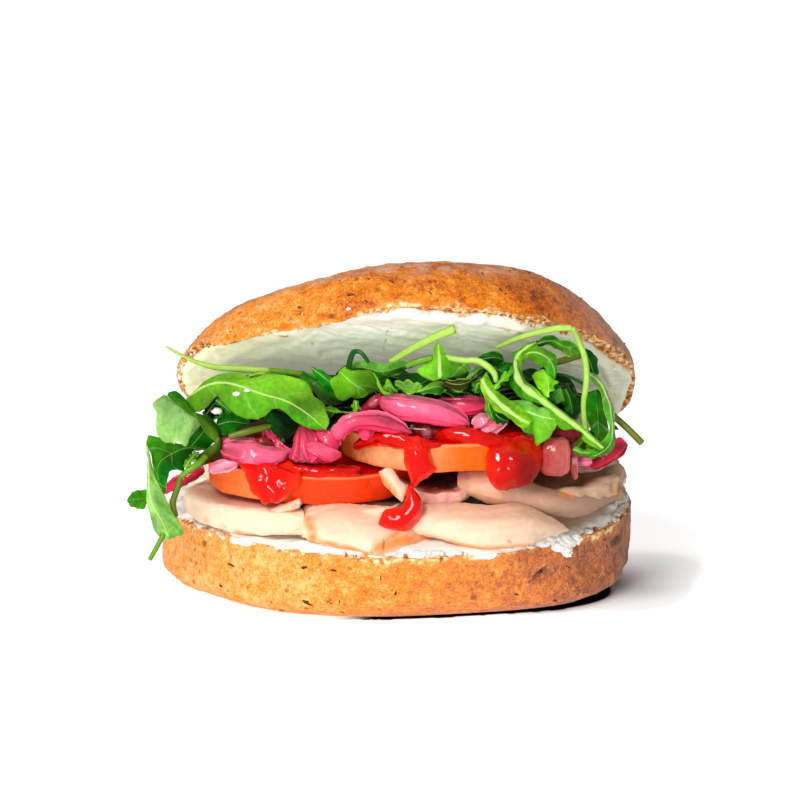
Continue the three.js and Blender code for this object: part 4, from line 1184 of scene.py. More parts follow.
# The slices at the front, as the photograph outlines them
CHICKEN_SEEN = (
    outline(
        "front_middle", 4.0, (6.5, -5.5),
        (302.5, 515, -42, 316, 522, -45.5, 335, 524, -47, 360, 528, -48, 385, 533, -48.3, 410, 534, -47,
         429, 537, -45),
        (302.5, 511, 308, 506.5, 330, 504.5, 350, 506, 375, 507, 400, 510, 420, 520, 430, 535),
        (302.5, 521, 304, 536, 317, 540.5, 335, 545, 350, 548, 362, 551.5, 373, 556, 383, 556.5, 397, 552,
         412, 545.5, 430, 538.5),
        along=90, across=61,
        # some of these lines paint shade on the slice's rounded end and far end
        browned=[
            ([(309, 521), (312, 530), (313, 540)], 9),
            ([(380, 549), (396, 542), (412, 539), (428, 537)], 13),
            ([(372, 552), (385, 541), (397, 533)], 5), ([(308, 520), (311, 530), (311, 538)], 5),
            ([(320, 542), (350, 549), (370, 556), (384, 558)], 6),
        ],
    ),
    outline(
        "front_middle", 1.4, (1.5, 0.0),
        (358.5, 511.5, -46.2, 372, 511.5, -47, 390, 512, -47.5),
        (358.5, 511, 370, 506.5, 385, 505.5, 400, 504),
        (359, 512.3, 366, 515, 378, 520, 395, 522),
        along=40, across=25, browned=[([(367, 516), (380, 521)], 3)],
    ),
    outline(
        "front_right", 4.2, (6.5, -3.0),
        (404, 519, -45, 420, 520, -46.3, 440, 522.5, -47, 480, 527, -47.8, 520, 526, -47.3,
         550, 528, -45.5, 568, 530.5, -42.5),
        (404, 514, 415, 508, 430, 506.5, 460, 505, 490, 507, 520, 505, 536, 511, 552, 520, 568, 530),
        (404, 524, 413, 531.5, 440, 538.5, 460, 544, 480, 547.6, 508, 547, 530, 544, 548, 537, 568, 531.5),
        along=90, across=61,
        browned=[
            ([(424, 537), (455, 544.5), (480, 549), (508, 548.5), (530, 546)], 5),
            ([(508, 540), (510, 542)], 2),
        ],
    ),
    outline(
        "front_left", 1.6, (1.5, 0.0),
        (265, 516, -44.2, 280, 510, -45.2, 302, 503.5, -45.6),
        (265, 515, 280, 507.5, 292, 503, 302, 499.3),
        (266, 518, 276, 515, 294, 509.8, 298, 507.5),
        along=40, across=25, browned=[([(266, 518), (280, 514.5), (296, 510)], 2.5)],
    ),
    outline(
        "torn_strip", 1.6, (0.8, 0.8),
        (385, 470, -44.5, 393, 482, -46, 400, 493, -47.3, 403, 502, -47.6),
        (379, 473, 386, 486, 395, 495, 402.5, 502.5),
        (393, 471, 399, 479, 405, 486, 405, 494, 403.5, 502),
        along=50, across=25, browned=[([(380, 477), (398, 497), (404, 503)], 6)],
    ),
    # right_upper's tones darken towards the right as painted shade
    outline(
        "right_upper", 3.6, (3.0, 1.5),
        (460, 484, -38, 488, 489, -40.3, 520, 495, -41, 550, 503, -41, 575, 505, -39.5, 598, 499, -36.5,
         618, 491, -33),
        (460, 472, 480, 470, 505, 475, 530, 482, 546, 488, 568, 495, 584, 493, 600, 490, 617, 484),
        (460, 490, 470, 495, 490, 502, 506, 503.5, 530, 508, 552, 515, 570, 516.6, 588, 512, 604, 504,
         619, 496),
        along=80, across=41, tones=("#DDA888", "#A07E68"), browned=[([(560, 494), (572, 497)], 3)],
    ),
    outline(
        "right_high", 3.0, (2.0, 1.0),
        (570, 476, -25, 585, 473, -27, 600, 472, -27.5, 612, 474, -26, 621, 477, -24),
        (570, 468, 584, 464, 598, 460, 610, 460.5, 620, 468),
        (572, 484, 586, 487, 600, 487, 612, 487, 622, 484),
        along=50, across=31, tones=("#BE9C8A", "#DCC4B6"),
    ),
)


def fibre(points, heading, seed):
    """Meat fibre: noise drawn out eight times along the slice."""
    way = np.radians(heading)
    along = points[..., 0] * np.cos(way) + points[..., 1] * np.sin(way)
    across = -points[..., 0] * np.sin(way) + points[..., 1] * np.cos(way)
    drawn = np.stack([along / 8, across, points[..., 2]], axis=-1)
    return noise(drawn, 1.5, seed) + 0.6 * noise(drawn, 0.7, seed + 1)


def slice_bend(x, y, curve=None, middle=0, slope=0, level=0):
    """How far a slice is bent up: as a trough with a slope across it, or else as a slow wave."""
    if curve is None:
        return 0.35 * np.sin(0.21 * x + 0.13 * y)
    return curve * (x - middle) ** 2 + slope * (y - level)


def lying_slice(one, number):
    """Grid, colours with painted shade towards the right, and browning of a slice that lies in the sandwich.
    """
    grid, out, high = slab(one["size"], 2.6, 0.45, ragged=0.03, seed=number + 5, flat=0.75)
    grid[..., 2] += slice_bend(grid[..., 0], grid[..., 1], *one.get("bend", ()))
    grid = turned(grid, 2, one["heading"]) + one["at"]
    for facing, reach in one.get("cuts", ()):
        facing = unit(np.array(facing, float))
        beyond = np.maximum(grid @ facing - reach - 0.5 * noise(grid, 3.0, number), 0)
        grid = grid - beyond[..., None] * facing
    rim = smooth(out, 0.8, 1.0)
    height = 0.1 * fibre(grid, one["heading"], number + 3) + 0.3 * noise(grid, 5, number) - 0.25
    height = height + 0.1 * noise(grid, 1.2, number + 6) + one.get("grainy", 0) * noise(grid, 1.6, number + 7)
    grid = raised(grid, height + 0.3 * rim * noise(grid * (1, 1, 2.2), 2.2, number + 9))
    top, side, shaded = tones(one.get("top", CHICKEN_TOP), one.get("side", CHICKEN_SIDE), SHADED)
    lying = high * (1 - rim)
    dim = 0.75 * smooth(grid[..., 0], 18, 40) * (1 - lying * ("top" in one))
    burnt = 0.6 * rim * smooth(noise(grid, 4, number + 20), 0.3, 0.9) * (high < 0.4)
    return grid, blend(blend(side, top, lying), shaded, dim), burnt


def seen_slice(one, number):
    """Grid, colours with painted shade towards the right, and browning of a slice that the photograph
    outlines.
    """
    grid, t, s, _ = seen_sheet(one, one["along"], one["across"], 0.3, 0.9, power=3.0, bow=0.5)
    height = 0.12 * fibre(grid, 10, number + 43) + 0.25 * noise(grid, 5, number + 40)
    height = height + 0.08 * noise(grid, 1.2, number + 46)
    grid = raised(grid, height * off_ends(t, 0.06))
    top, side, shaded = tones(CHICKEN_TOP, CHICKEN_SIDE, SHADED)
    tint = blend(blend(top, side, smooth(s, -0.5, 0.9)), shaded, 0.35 * smooth(grid[..., 0], 12, 36))
    if "tones" in one:
        tint = blend(*tones(*one["tones"]), smooth(t, 0.1, 0.8))
    return grid, tint * (1 + 0.07 * fibre(grid, 10, number + 50))[..., None], 0 * t


def cooked(grid, tint, burnt, lines):
    """A slice's colours, browned along its lines, some of which are painted shade, with painted shade where
    it lies under a tomato, and pale specks.
    """
    for line, width in lines:
        burnt = np.maximum(burnt, near_line(grid, line, width) * smooth(noise(grid, 2.2, 30), -1.2, 0.2))
    tint = blend(tint, *tones(BROWNED), burnt)
    # painted shade where the slice lies under a tomato
    for tomato in TOMATOES:
        away = np.linalg.norm(grid[..., :2] - tomato["at"][:2], axis=-1)
        under = (1 - smooth(away, 14, 22)) * (grid[..., 2] < tomato["at"][2])
        tint = tint * (1 - tomato["shade"] * under[..., None])
    speck = 0.12 * smooth(noise(grid, 0.9, 47), 0.6, 0.78) * (tint.mean(axis=-1) > 0.3)
    return blend(tint, 1, speck)


class SANDWICH_OT_chicken(Operator):
    """Lays the slices of cooked chicken breast"""

    bl_idname = "sandwich.chicken"
    bl_label = "Chicken"

    def execute(self, context):
        material = tinted_material(
            "cooked_chicken_breast", 0.48, 1.4, 0.05, 0.25,
            Subsurface_Weight=0.2, Subsurface_Radius=(1.0, 0.5, 0.3), Subsurface_Scale=1.0 * MM,
        )
        skins = collections.defaultdict(Skin)
        made = [(one, *lying_slice(one, number)) for number, one in enumerate(CHICKEN)]
        made += [(one, *seen_slice(one, number)) for number, one in enumerate(CHICKEN_SEEN)]
        for one, grid, tint, burnt in made:
            skins[one["node"]].add(grid, tint=cooked(grid, tint, burnt, one.get("browned", ())))
        place_skins("chicken", "slice", skins, material)
        return {"FINISHED"}


# Tomato

# The slices' places, radii, tilts in degrees, how far they are warped and how much painted shade they lay on
# the chicken under them
TOMATOES = (
    {"name": "lower", "at": (-20, -20.5, 26.6), "radius": 24.0, "roll": 1.5, "wave": 0.5, "shade": 0.45},
    {"name": "upper", "at": (11, -19.5, 33.8), "radius": 25.0, "roll": 0.0, "wave": -0.4, "shade": 0.88},
)
TOMATO_THICKNESS = 6.6


class SANDWICH_OT_tomatoes(Operator):
    """Lays the two tomato slices"""

    bl_idname = "sandwich.tomatoes"
    bl_label = "Tomato"

    def execute(self, context):
        material = tinted_material(
            "fresh_tomato", 0.2, 1.1, 0.14, 0.25,
            Specular_IOR_Level=0.18, Coat_Weight=0.25, Coat_Roughness=0.08,
            Subsurface_Weight=0.12, Subsurface_Radius=(1.0, 0.2, 0.05), Subsurface_Scale=1.2 * MM,
        )
        red, orange, peach, deep = tones("#EA0C02", "#FF6406", "#FFA068", "#FF400E")
        for one in TOMATOES:
            radius = one["radius"]
            size = (radius, radius, TOMATO_THICKNESS)
            grid, out, high = slab(size, 2.15, 0.22, around=260, ragged=0.006, seed=3, flat=0.55)
            warp = one["wave"] * np.sin(3 * grid[..., 0] / radius)
            grid[..., 2] += warp * np.cos(2 * grid[..., 1] / radius)
            grid = turned(grid, 1, one["roll"]) + one["at"]
            x = grid[..., 0]
            if one["name"] == "lower":
                face = blend(orange, peach, 0.35 * hill(x + 33, 5))
                face = blend(face, deep, smooth(x, -26, -22))
            else:
                face = blend(orange, peach, smooth(x, -13, -7))
                face = blend(face, orange, smooth(x, 3, 14))
            side = smooth(out, 0.95, 1.0)
            mottled = 1 + 0.1 * noise(grid, 0.8, 9) + 0.12 * noise(grid * (1, 1, 0.3), 2.4, 10)
            tint = blend(red, face, side) * mottled[..., None]
            # a painted highlight along the top edge of the side
            lit = smooth(high, 0.86, 0.95) * (1 - smooth(high, 0.985, 1.0)) * side
            skin = Skin()
            skin.add(raised(grid, 0.2 * noise(grid, 4, 8) - 0.1), tint=blend(tint, peach, 0.7 * lit))
            skin.piece(f"tomato_{one['name']}_slice", material, "tomato", f"tomato_{one['name']}")
        return {"FINISHED"}


# Onion

PINK, ROSE, CERISE, CRIMSON, BLUSH = "#FA6A8E", "#EE4870", "#D8244E", "#A80A26", "#EFA0B0"
# Petals that the photograph shows, and two dark sheets of painted shade in hollows. tints are the colours
# along their two edges, pleats the height and number of ripples across, pale how much they blush in blotches
# and lines how strong the lines of their flesh are.
ONION_SEEN = (
    outline(
        "left_arc", 3.4, (5, 0.5),
        (223, 449, -36, 232, 453, -39.5, 250, 455, -42, 268, 459, -42.5, 282, 458, -41.5, 293, 453, -40),
        (224, 448, 229, 440, 241, 440, 252, 440, 263, 444, 272, 447, 283, 448, 293, 451),
        (224, 450, 226, 456, 238, 461.5, 253, 464.5, 270, 467.6, 280, 463, 287, 457, 293, 455),
        tints=(PINK, ROSE), power=5.0,
    ),
    outline(
        "left_curl", 2.0, (1, 0.5),
        (210.5, 470.5, -38, 220, 466, -42, 230, 465, -43.5, 238, 463.5, -43.5),
        (210.5, 470, 214, 464, 219.5, 459.8, 226, 459, 238, 462.8),
        (210.5, 471.3, 220, 471.2, 229, 470, 235, 467, 238, 464),
        tints=(PINK, BLUSH), pleats=(0.3, 1.5),
    ),
    outline(
        "left_tip", 2.0, (0.6, 0.6),
        (266, 428, -36, 272, 438, -37.5, 281, 446, -39, 293, 452, -40),
        (266.5, 427, 273, 432, 278.5, 438, 284, 445, 293, 450),
        (265.5, 428, 263.4, 433, 268, 441, 276, 450, 292, 454),
        tints=(ROSE, CERISE),
    ),
    outline(
        "fan", 2.2, (1.5, 2.0),
        (303, 427, -38, 308, 438, -41, 311, 450, -43, 311, 463, -44),
        (299, 427.5, 295.5, 438, 293.5, 449, 289.5, 460, 303, 461),
        (306, 425.6, 320, 431.5, 331, 438, 334, 449, 329, 460, 318, 464),
        tints=(ROSE, CERISE), pleats=(0.75, 2.4), pale=0.12,
    ),
    outline(
        "fan", 1.8, (1.0, 1.0),
        (307, 445, -43.5, 317, 449, -44.3, 328, 454, -44, 340, 454, -43),
        (306, 443, 318, 441, 331, 446, 341, 452),
        (307, 446, 316, 455, 328, 460.5, 336, 458, 341, 455),
        tints=(ROSE, CERISE), pleats=(0.4, 1.3), pale=0.12,
    ),
    outline(
        "fan", 1.8, (1.5, 1.0),
        (316, 431, -39.5, 327, 438, -41.5, 337, 446, -42),
        (317, 430, 330, 434.5, 338, 440, 341.5, 446),
        (315, 434, 322, 443, 330, 449, 338, 450),
        tints=(CERISE, ROSE), pleats=(0.4, 1.5), pale=0.12,
    ),
    outline(
        "arch", 2.8, (1.6, 1.0),
        (336, 438, -41, 341, 429, -42, 352, 421.5, -42.5, 366, 419.5, -42.5, 384, 421, -42,
         402, 428, -41.5, 411, 433, -41),
        (333, 438, 332.8, 429.5, 337, 423.5, 347.5, 415.8, 361, 412.8, 374, 410.8, 384, 413.5, 400, 421.5,
         411.5, 432),
        (338, 438.5, 345, 437.5, 347.5, 434, 353, 430.3, 360, 428.8, 377, 430, 387, 431.5, 400, 433,
         410.5, 434),
        tints=("#F85C84", CERISE), pleats=(0.25, 1.2), pale=0.2,
    ),
    outline(
        "arch", 2.0, (0.8, 0.8),
        (361, 428, -40, 366, 433, -41, 370, 438, -41.5),
        (360, 429, 360.5, 434, 365, 439.5, 369, 439),
        (364, 427.5, 377, 429.5, 375, 434, 371, 438.5),
        tints=(ROSE, CERISE),
    ),
    outline(
        "big_petal", 2.6, (2.5, 1.0),
        (380, 401, -36, 395, 407, -39, 415, 409, -40, 435, 412, -40, 452, 418, -39.5, 468, 425, -38.5),
        (380, 398.5, 391, 394, 405, 395.3, 423, 398, 439, 401, 450, 405, 458, 408.5, 464, 414, 469, 422),
        (381, 404, 388, 412.5, 396, 419.5, 407, 421.2, 423, 422.8, 441, 425.2, 454, 427, 463, 427.2,
         468.5, 426),
        tints=(PINK, ROSE),
    ),
    outline(
        "big_petal", 2.0, (2.0, 1.0),
        (361, 411, -35.5, 370, 406, -36, 381, 400, -36),
        (360, 411, 368, 402, 379, 395.5, 386, 394.5),
        (362, 413, 372, 411.5, 382, 409, 386, 404),
        tints=(CERISE, CRIMSON),
    ),
    outline(
        "back_petal", 2.2, (2.0, 1.0),
        (436, 403, -35, 452, 404, -36.5, 468, 405, -37, 486, 404, -36),
        (437, 401, 448, 398.5, 460, 397, 470, 396.4, 479, 397, 487, 401),
        (438, 405, 450, 409, 462, 413, 474, 416.5, 482, 413, 487, 406),
        tints=(ROSE, CERISE),
    ),
    outline(
        "crumpled_end", 1.6, (1.0, 1.0),
        (476, 424, -40, 482, 420, -41.5, 488, 417, -41),
        (474, 423, 478, 415, 483, 413, 490, 414),
        (476, 429, 482, 434, 487, 428, 490, 419),
        tints=(BLUSH, ROSE), pleats=(0.5, 1.5),
    ),
    outline(
        "crumpled_end", 1.5, (1.0, 1.0),
        (481, 430, -41.5, 488, 427, -41.5, 497, 422, -40.5, 505, 419, -39),
        (480, 427, 489, 421, 498, 415, 505, 416),
        (481, 433, 490, 435, 499, 430, 505, 422),
        tints=(ROSE, BLUSH), pleats=(0.5, 1.8),
    ),
    outline(
        "right_block", 3.4, (1.0, 1.0),
        (551, 434, -38, 564, 433, -38.5, 577, 434, -37.5),
        (551, 426, 564, 424, 577, 427),
        (551, 442, 564, 443, 578, 442),
        tints=("#8A1424", "#5A0A12"),
    ),
    # A dark sheet of painted shade in the hollow between the big petal and the tomato
    outline(
        "big_petal", 2.4, (1.0, 1.0),
        (409, 430, -37.5, 426, 430, -38, 443, 431, -38),
        (410, 423, 426, 422, 443, 424),
        (410, 437, 426, 438, 443, 438),
        tints=("#5A0404", "#7A0A0E"),
    ),
    # A dark sheet of painted shade in the onion's hollow
    outline(
        "left_arc", 1.6, (0.5, 0.5),
        (256, 443, -39.5, 264, 443, -40.2, 272, 444, -39.5),
        (256, 438, 264, 436.5, 272, 440),
        (256, 448, 264, 449.5, 272, 449),
        tints=("#8E2018", "#5A0E0C"),
    ),
    outline(
        "right_ring", 1.2, (0.5, 0.5),
        (576, 461, -35.5, 584, 461.5, -36.5, 592, 461, -36.5),
        (576, 458, 584, 456.8, 592, 459),
        (577, 464, 584, 465, 592, 463),
        tints=(PINK, BLUSH),
    ),
    outline(
        "right_block", 4.6, (1.0, 1.0),
        (556, 443, -39.5, 556, 452, -41.5, 555, 461, -41.5, 554, 468.5, -40.5),
        (550, 442.5, 544.5, 445, 542.5, 456, 541, 464, 543, 468),
        (563, 443, 568.5, 446, 568.5, 457, 568, 466, 564, 469.5),
        tints=("#AE403A", "#C8625A"), power=7.0, lines=0.3,
    ),
    outline(
        "right_block", 1.6, (0.5, 0.5),
        (572.5, 440, -38, 573, 455, -40, 574, 468, -41, 575.5, 479, -41),
        (569.5, 440, 569.8, 455, 570.5, 468, 573.5, 478),
        (576.5, 440, 577, 455, 578, 466, 577.3, 479),
        tints=("#5E0A10", "#C8605C"), lines=0.5,
    ),
    outline(
        "right_ring", 2.0, (1.5, 0.8),
        (577, 463, -33, 590, 464, -35.5, 603, 459, -36.5, 615, 450, -35.5, 625, 444, -33.5),
        (577, 461, 590, 459, 603, 452, 612, 444, 617, 438.8, 627, 443.5),
        (577, 465, 588, 467.5, 600, 466, 612, 459.5, 621, 452.5, 627.5, 445),
        tints=(CERISE, CRIMSON), pleats=(0.3, 1.1),
    ),
    outline(
        "left_low", 2.0, (0.8, 0.8),
        (203, 468, -21, 190, 475, -22, 177, 483, -22, 165, 492, -20),
        (202, 464.5, 190, 468.5, 178, 475, 165, 486),
        (203.5, 472, 191, 480.5, 178, 487, 165.5, 494),
        tints=(CERISE, CRIMSON),
    ),
)
# Petals behind those: path, width and thickness in millimetres
ONION_BEHIND = (
    ("side_left", [(-40, -22, 36), (-41.5, -14, 36.2), (-37, -6, 35.6)], 4.6, 3.2),
    ("side_right", [(38.5, -20, 37), (42, -11, 35), (39, -3, 33.2)], 4.8, 3.2),
    ("back_arc", [(-14, 8, 30.2), (-2, 13, 28.6), (12, 11, 28.8)], 5.0, 2.8),
)


def onion_lines(s, t, seed):
    """The lines along an onion's flesh, from -1 to 1: noise across the petal that hardly changes along it."""
    drawn = np.stack([s * 6.5, t * 1.2, 0 * s + seed], axis=-1)
    return np.clip(noise(drawn, 1.0, seed) + 0.6 * noise(drawn * 2.6, 1.0, seed + 1), -1, 1)


class SANDWICH_OT_onion(Operator):
    """Lays the petals of pickled red onion"""

    bl_idname = "sandwich.onion"
    bl_label = "Pickled onion"

    def execute(self, context):
        material = tinted_material(
            "pickled_red_onion", 0.2, 1.2, 0.12, 0.35,
            Specular_IOR_Level=0.35, Coat_Weight=0.5, Coat_Roughness=0.06,
            Subsurface_Weight=0.2, Subsurface_Radius=(1.0, 0.25, 0.35), Subsurface_Scale=1.0 * MM,
        )
        skins = collections.defaultdict(Skin)
        for number, petal in enumerate(ONION_SEEN):
            grid, t, s, _ = seen_sheet(
                petal, 70, 41, 0.3, 0.8, power=petal.get("power", 3.5), bow=0.5,
                pleats=petal.get("pleats", (0, 1)), phase=number,
            )
            lines = petal.get("lines", 1.0) * onion_lines(s, t, number)
            grid = raised(grid, (0.22 * lines + 0.14 * noise(grid, 2.0, number)) * off_ends(t, 0.08))
            share = smooth(s + 0.25 * noise(grid, 3, number + 7), -0.7, 0.8)
            tint = blend(*tones(*petal["tints"]), share) * (1 + 0.5 * lines)[..., None]
            pale = petal.get("pale", 0.4) * smooth(noise(grid, 3.0, number + 4), 0.35, 0.8)
            skins[petal["node"]].add(grid, tint=blend(tint, *tones(BLUSH), pale))
        for number, (node, path, width, thickness) in enumerate(ONION_BEHIND):
            rows = [(*place, width * share, thickness) for place, share in zip(path, (0.7, 1.15, 0.7))]
            grid, across = strand(rows, (0, 0, 1), 50, 40, camber=-0.2)
            grid = raised(grid, 0.12 * np.cos(7 * np.pi * across) + 0.1 * noise(grid, 1.6, number + 30))
            skins[node].add(grid, tint=blend(*tones(ROSE, CERISE), smooth(across, -0.6, 0.6)))
        place_skins("onion", "petals", skins, material)
        return {"FINISHED"}


# Sauce

# Runs and pools. Some are rounder (power, bow) or rougher, of a brighter tone, with less of a thin rim, or
# darker towards one side as painted shade.
SAUCE = (
    outline(
        "left", 2.4, (2.2, 0.8),
        (264, 463, -41, 267, 473, -45.3, 270, 485, -47.1, 271.5, 495, -47.8, 272, 502.3, -46.4),
        (238, 463, 243.5, 473, 247.3, 485, 252.7, 493.5, 261, 499.6, 271, 502.4),
        (290, 464, 302, 474, 300, 483.5, 293.5, 487.5, 290, 493.5, 282, 500.3, 273, 502.4),
        power=3.4, bow=0.2, rough=2.0, tone=1.4,
    ),
    outline(
        "left_pool", 1.4, (5.0, 0.6),
        (286, 468, -42, 306, 471, -43.4, 330, 472, -43.8, 360, 472, -42.5),
        (286, 462, 306, 463, 330, 464, 360, 467),
        (288, 474, 303, 481, 330, 477.5, 360, 476),
    ),
    outline(
        "middle", 2.2, (4.0, 0.6),
        (356, 446, -37, 372, 440, -40.5, 392, 439, -42, 412, 443, -43.5, 432, 446.5, -43.5,
         446, 446, -42.5),
        (356, 444, 366, 434.5, 379, 430.8, 397, 430, 412, 436, 430, 441.5, 446, 443),
        (357, 449, 370, 446.5, 388, 448, 405, 450.5, 424, 451, 437, 449.5, 446, 447.5),
    ),
    outline(
        "middle", 2.8, (1.0, 1.4),
        (416, 441, -43, 417.5, 453, -45.6, 418.5, 467, -46.6, 414.5, 477, -46.6, 413.5, 485, -46),
        (400, 441, 404, 450, 405, 461, 406.5, 469, 409.3, 477, 411.5, 485),
        (433, 442, 430.3, 450, 430.6, 459, 437, 468.5, 430.5, 475, 421, 481.5, 416.5, 486),
        tone=1.35,
    ),
    outline(
        "top_pool", 2.4, (4.0, 0.6),
        (438, 437, -39, 452, 436, -41.5, 468, 437, -42.5, 486, 440, -42.5, 503, 444, -42),
        (438, 436, 443.5, 430.2, 453, 426.5, 464, 427, 475, 429.5, 488, 433.3, 503, 439),
        (439, 439, 446, 444, 460, 444.6, 476, 447, 490, 451, 502, 452),
    ),
    outline(
        "right", 3.2, (1.4, 2.8),
        (517, 438, -40, 516, 449, -44, 514, 462, -46.6, 511, 476, -47, 507, 488, -45.4),
        (494, 440, 488, 450, 486.5, 466.5, 489.7, 479.5, 495, 485.8, 504, 488.6),
        (540, 439, 545, 446, 542.5, 459, 539.5, 470.6, 531, 482, 512.7, 487.3),
        power=3.6, bow=0.3, rough=1.1, tone=0.95, rim=0.5, dusk=0.62,
    ),
    outline(
        "low_drop", 3.4, (1.2, 1.2),
        (409, 486, -46.4, 412, 497, -48, 413, 508, -49, 406, 517, -49.6, 393, 521.5, -49.6,
         378, 525.5, -48.6),
        (407, 486, 405.5, 495, 403.5, 501.5, 400.5, 506, 393.5, 506.8, 385.7, 509.2, 379.5, 519, 377, 525),
        (411, 487, 417.5, 494, 420.8, 500, 423.5, 508, 422, 514, 417.6, 521.3, 409.3, 529.6, 402, 533,
         394.6, 530.2, 378, 526.3),
        tone=1.25,
    ),
)


class SANDWICH_OT_sauce(Operator):
    """Runs the tomato sauce over the slices"""

    bl_idname = "sandwich.sauce"
    bl_label = "Sauce"

    def execute(self, context):
        material = tinted_material(
            "tomato_sauce", 0.12, 2.5, 0.15, 0.1,
            Specular_IOR_Level=0.25, Coat_Weight=0.55, Coat_Roughness=0.03,
        )
        thick, thin = np.array(context.scene.sandwich_colours.sauce), *tones("#FA2C06")
        skins = collections.defaultdict(Skin)
        for number, run in enumerate(SAUCE):
            grid, t, s, _ = seen_sheet(run, 80, 41, 0.0, power=run.get("power", 1.7), bow=run.get("bow", 0.5))
            lumps = 0.3 * noise(grid, 3.0, number + 60) + 0.18 * noise(grid, 1.3, number + 61)
            grid = raised(grid, run.get("rough", 1.0) * lumps)
            edge = smooth(np.abs(s) + 0.2 * noise(grid, 3, number + 50), 0.45, 1.0) * run.get("rim", 1.0)
            tint = blend(thick * run.get("tone", 1.0), thin, edge)
            # painted shade towards one side and the lower end
            dusk = run.get("dusk", 0.0) * smooth(s + 0.3 * noise(grid, 3, 65), -0.6, 0.8)
            dusk = dusk * smooth(t, 0.1, 0.7)
            skins[run["node"]].add(grid, tint=tint * (1 - dusk)[..., None])
        place_skins("sauce", "run", skins, material)
        return {"FINISHED"}


# Rocket

# Greens for the leaves, from lime and bright down to dark and night: besides the leaves' own greens, they
# paint the light and shade that falls on each leaf, and olive and brown a reddish reflection in shade
GREENS = {
    "lime": "#8CC430", "fresh": "#68AC10", "bright": "#68A81E", "grass": "#3C9208", "mid": "#107606",
    "deep": "#075406", "dark": "#043403", "night": "#021802", "pale": "#90C466", "misty": "#629C38",
    "sage": "#7CA064", "olive": "#647410", "brown": "#3C2C0C", "stem": "#A8D058", "stem_dark": "#689C12",
}


def leaf(lean, tints, *curves, **more):
    """A leaf's outline, and the names of its colours, which paint light and shade on it: one for all of it,
    or those at the start and the end of its first edge and of its second."""
    return outline("rocket", 0, lean, *curves, tints=(tints.split() * 4)[:4], **more)


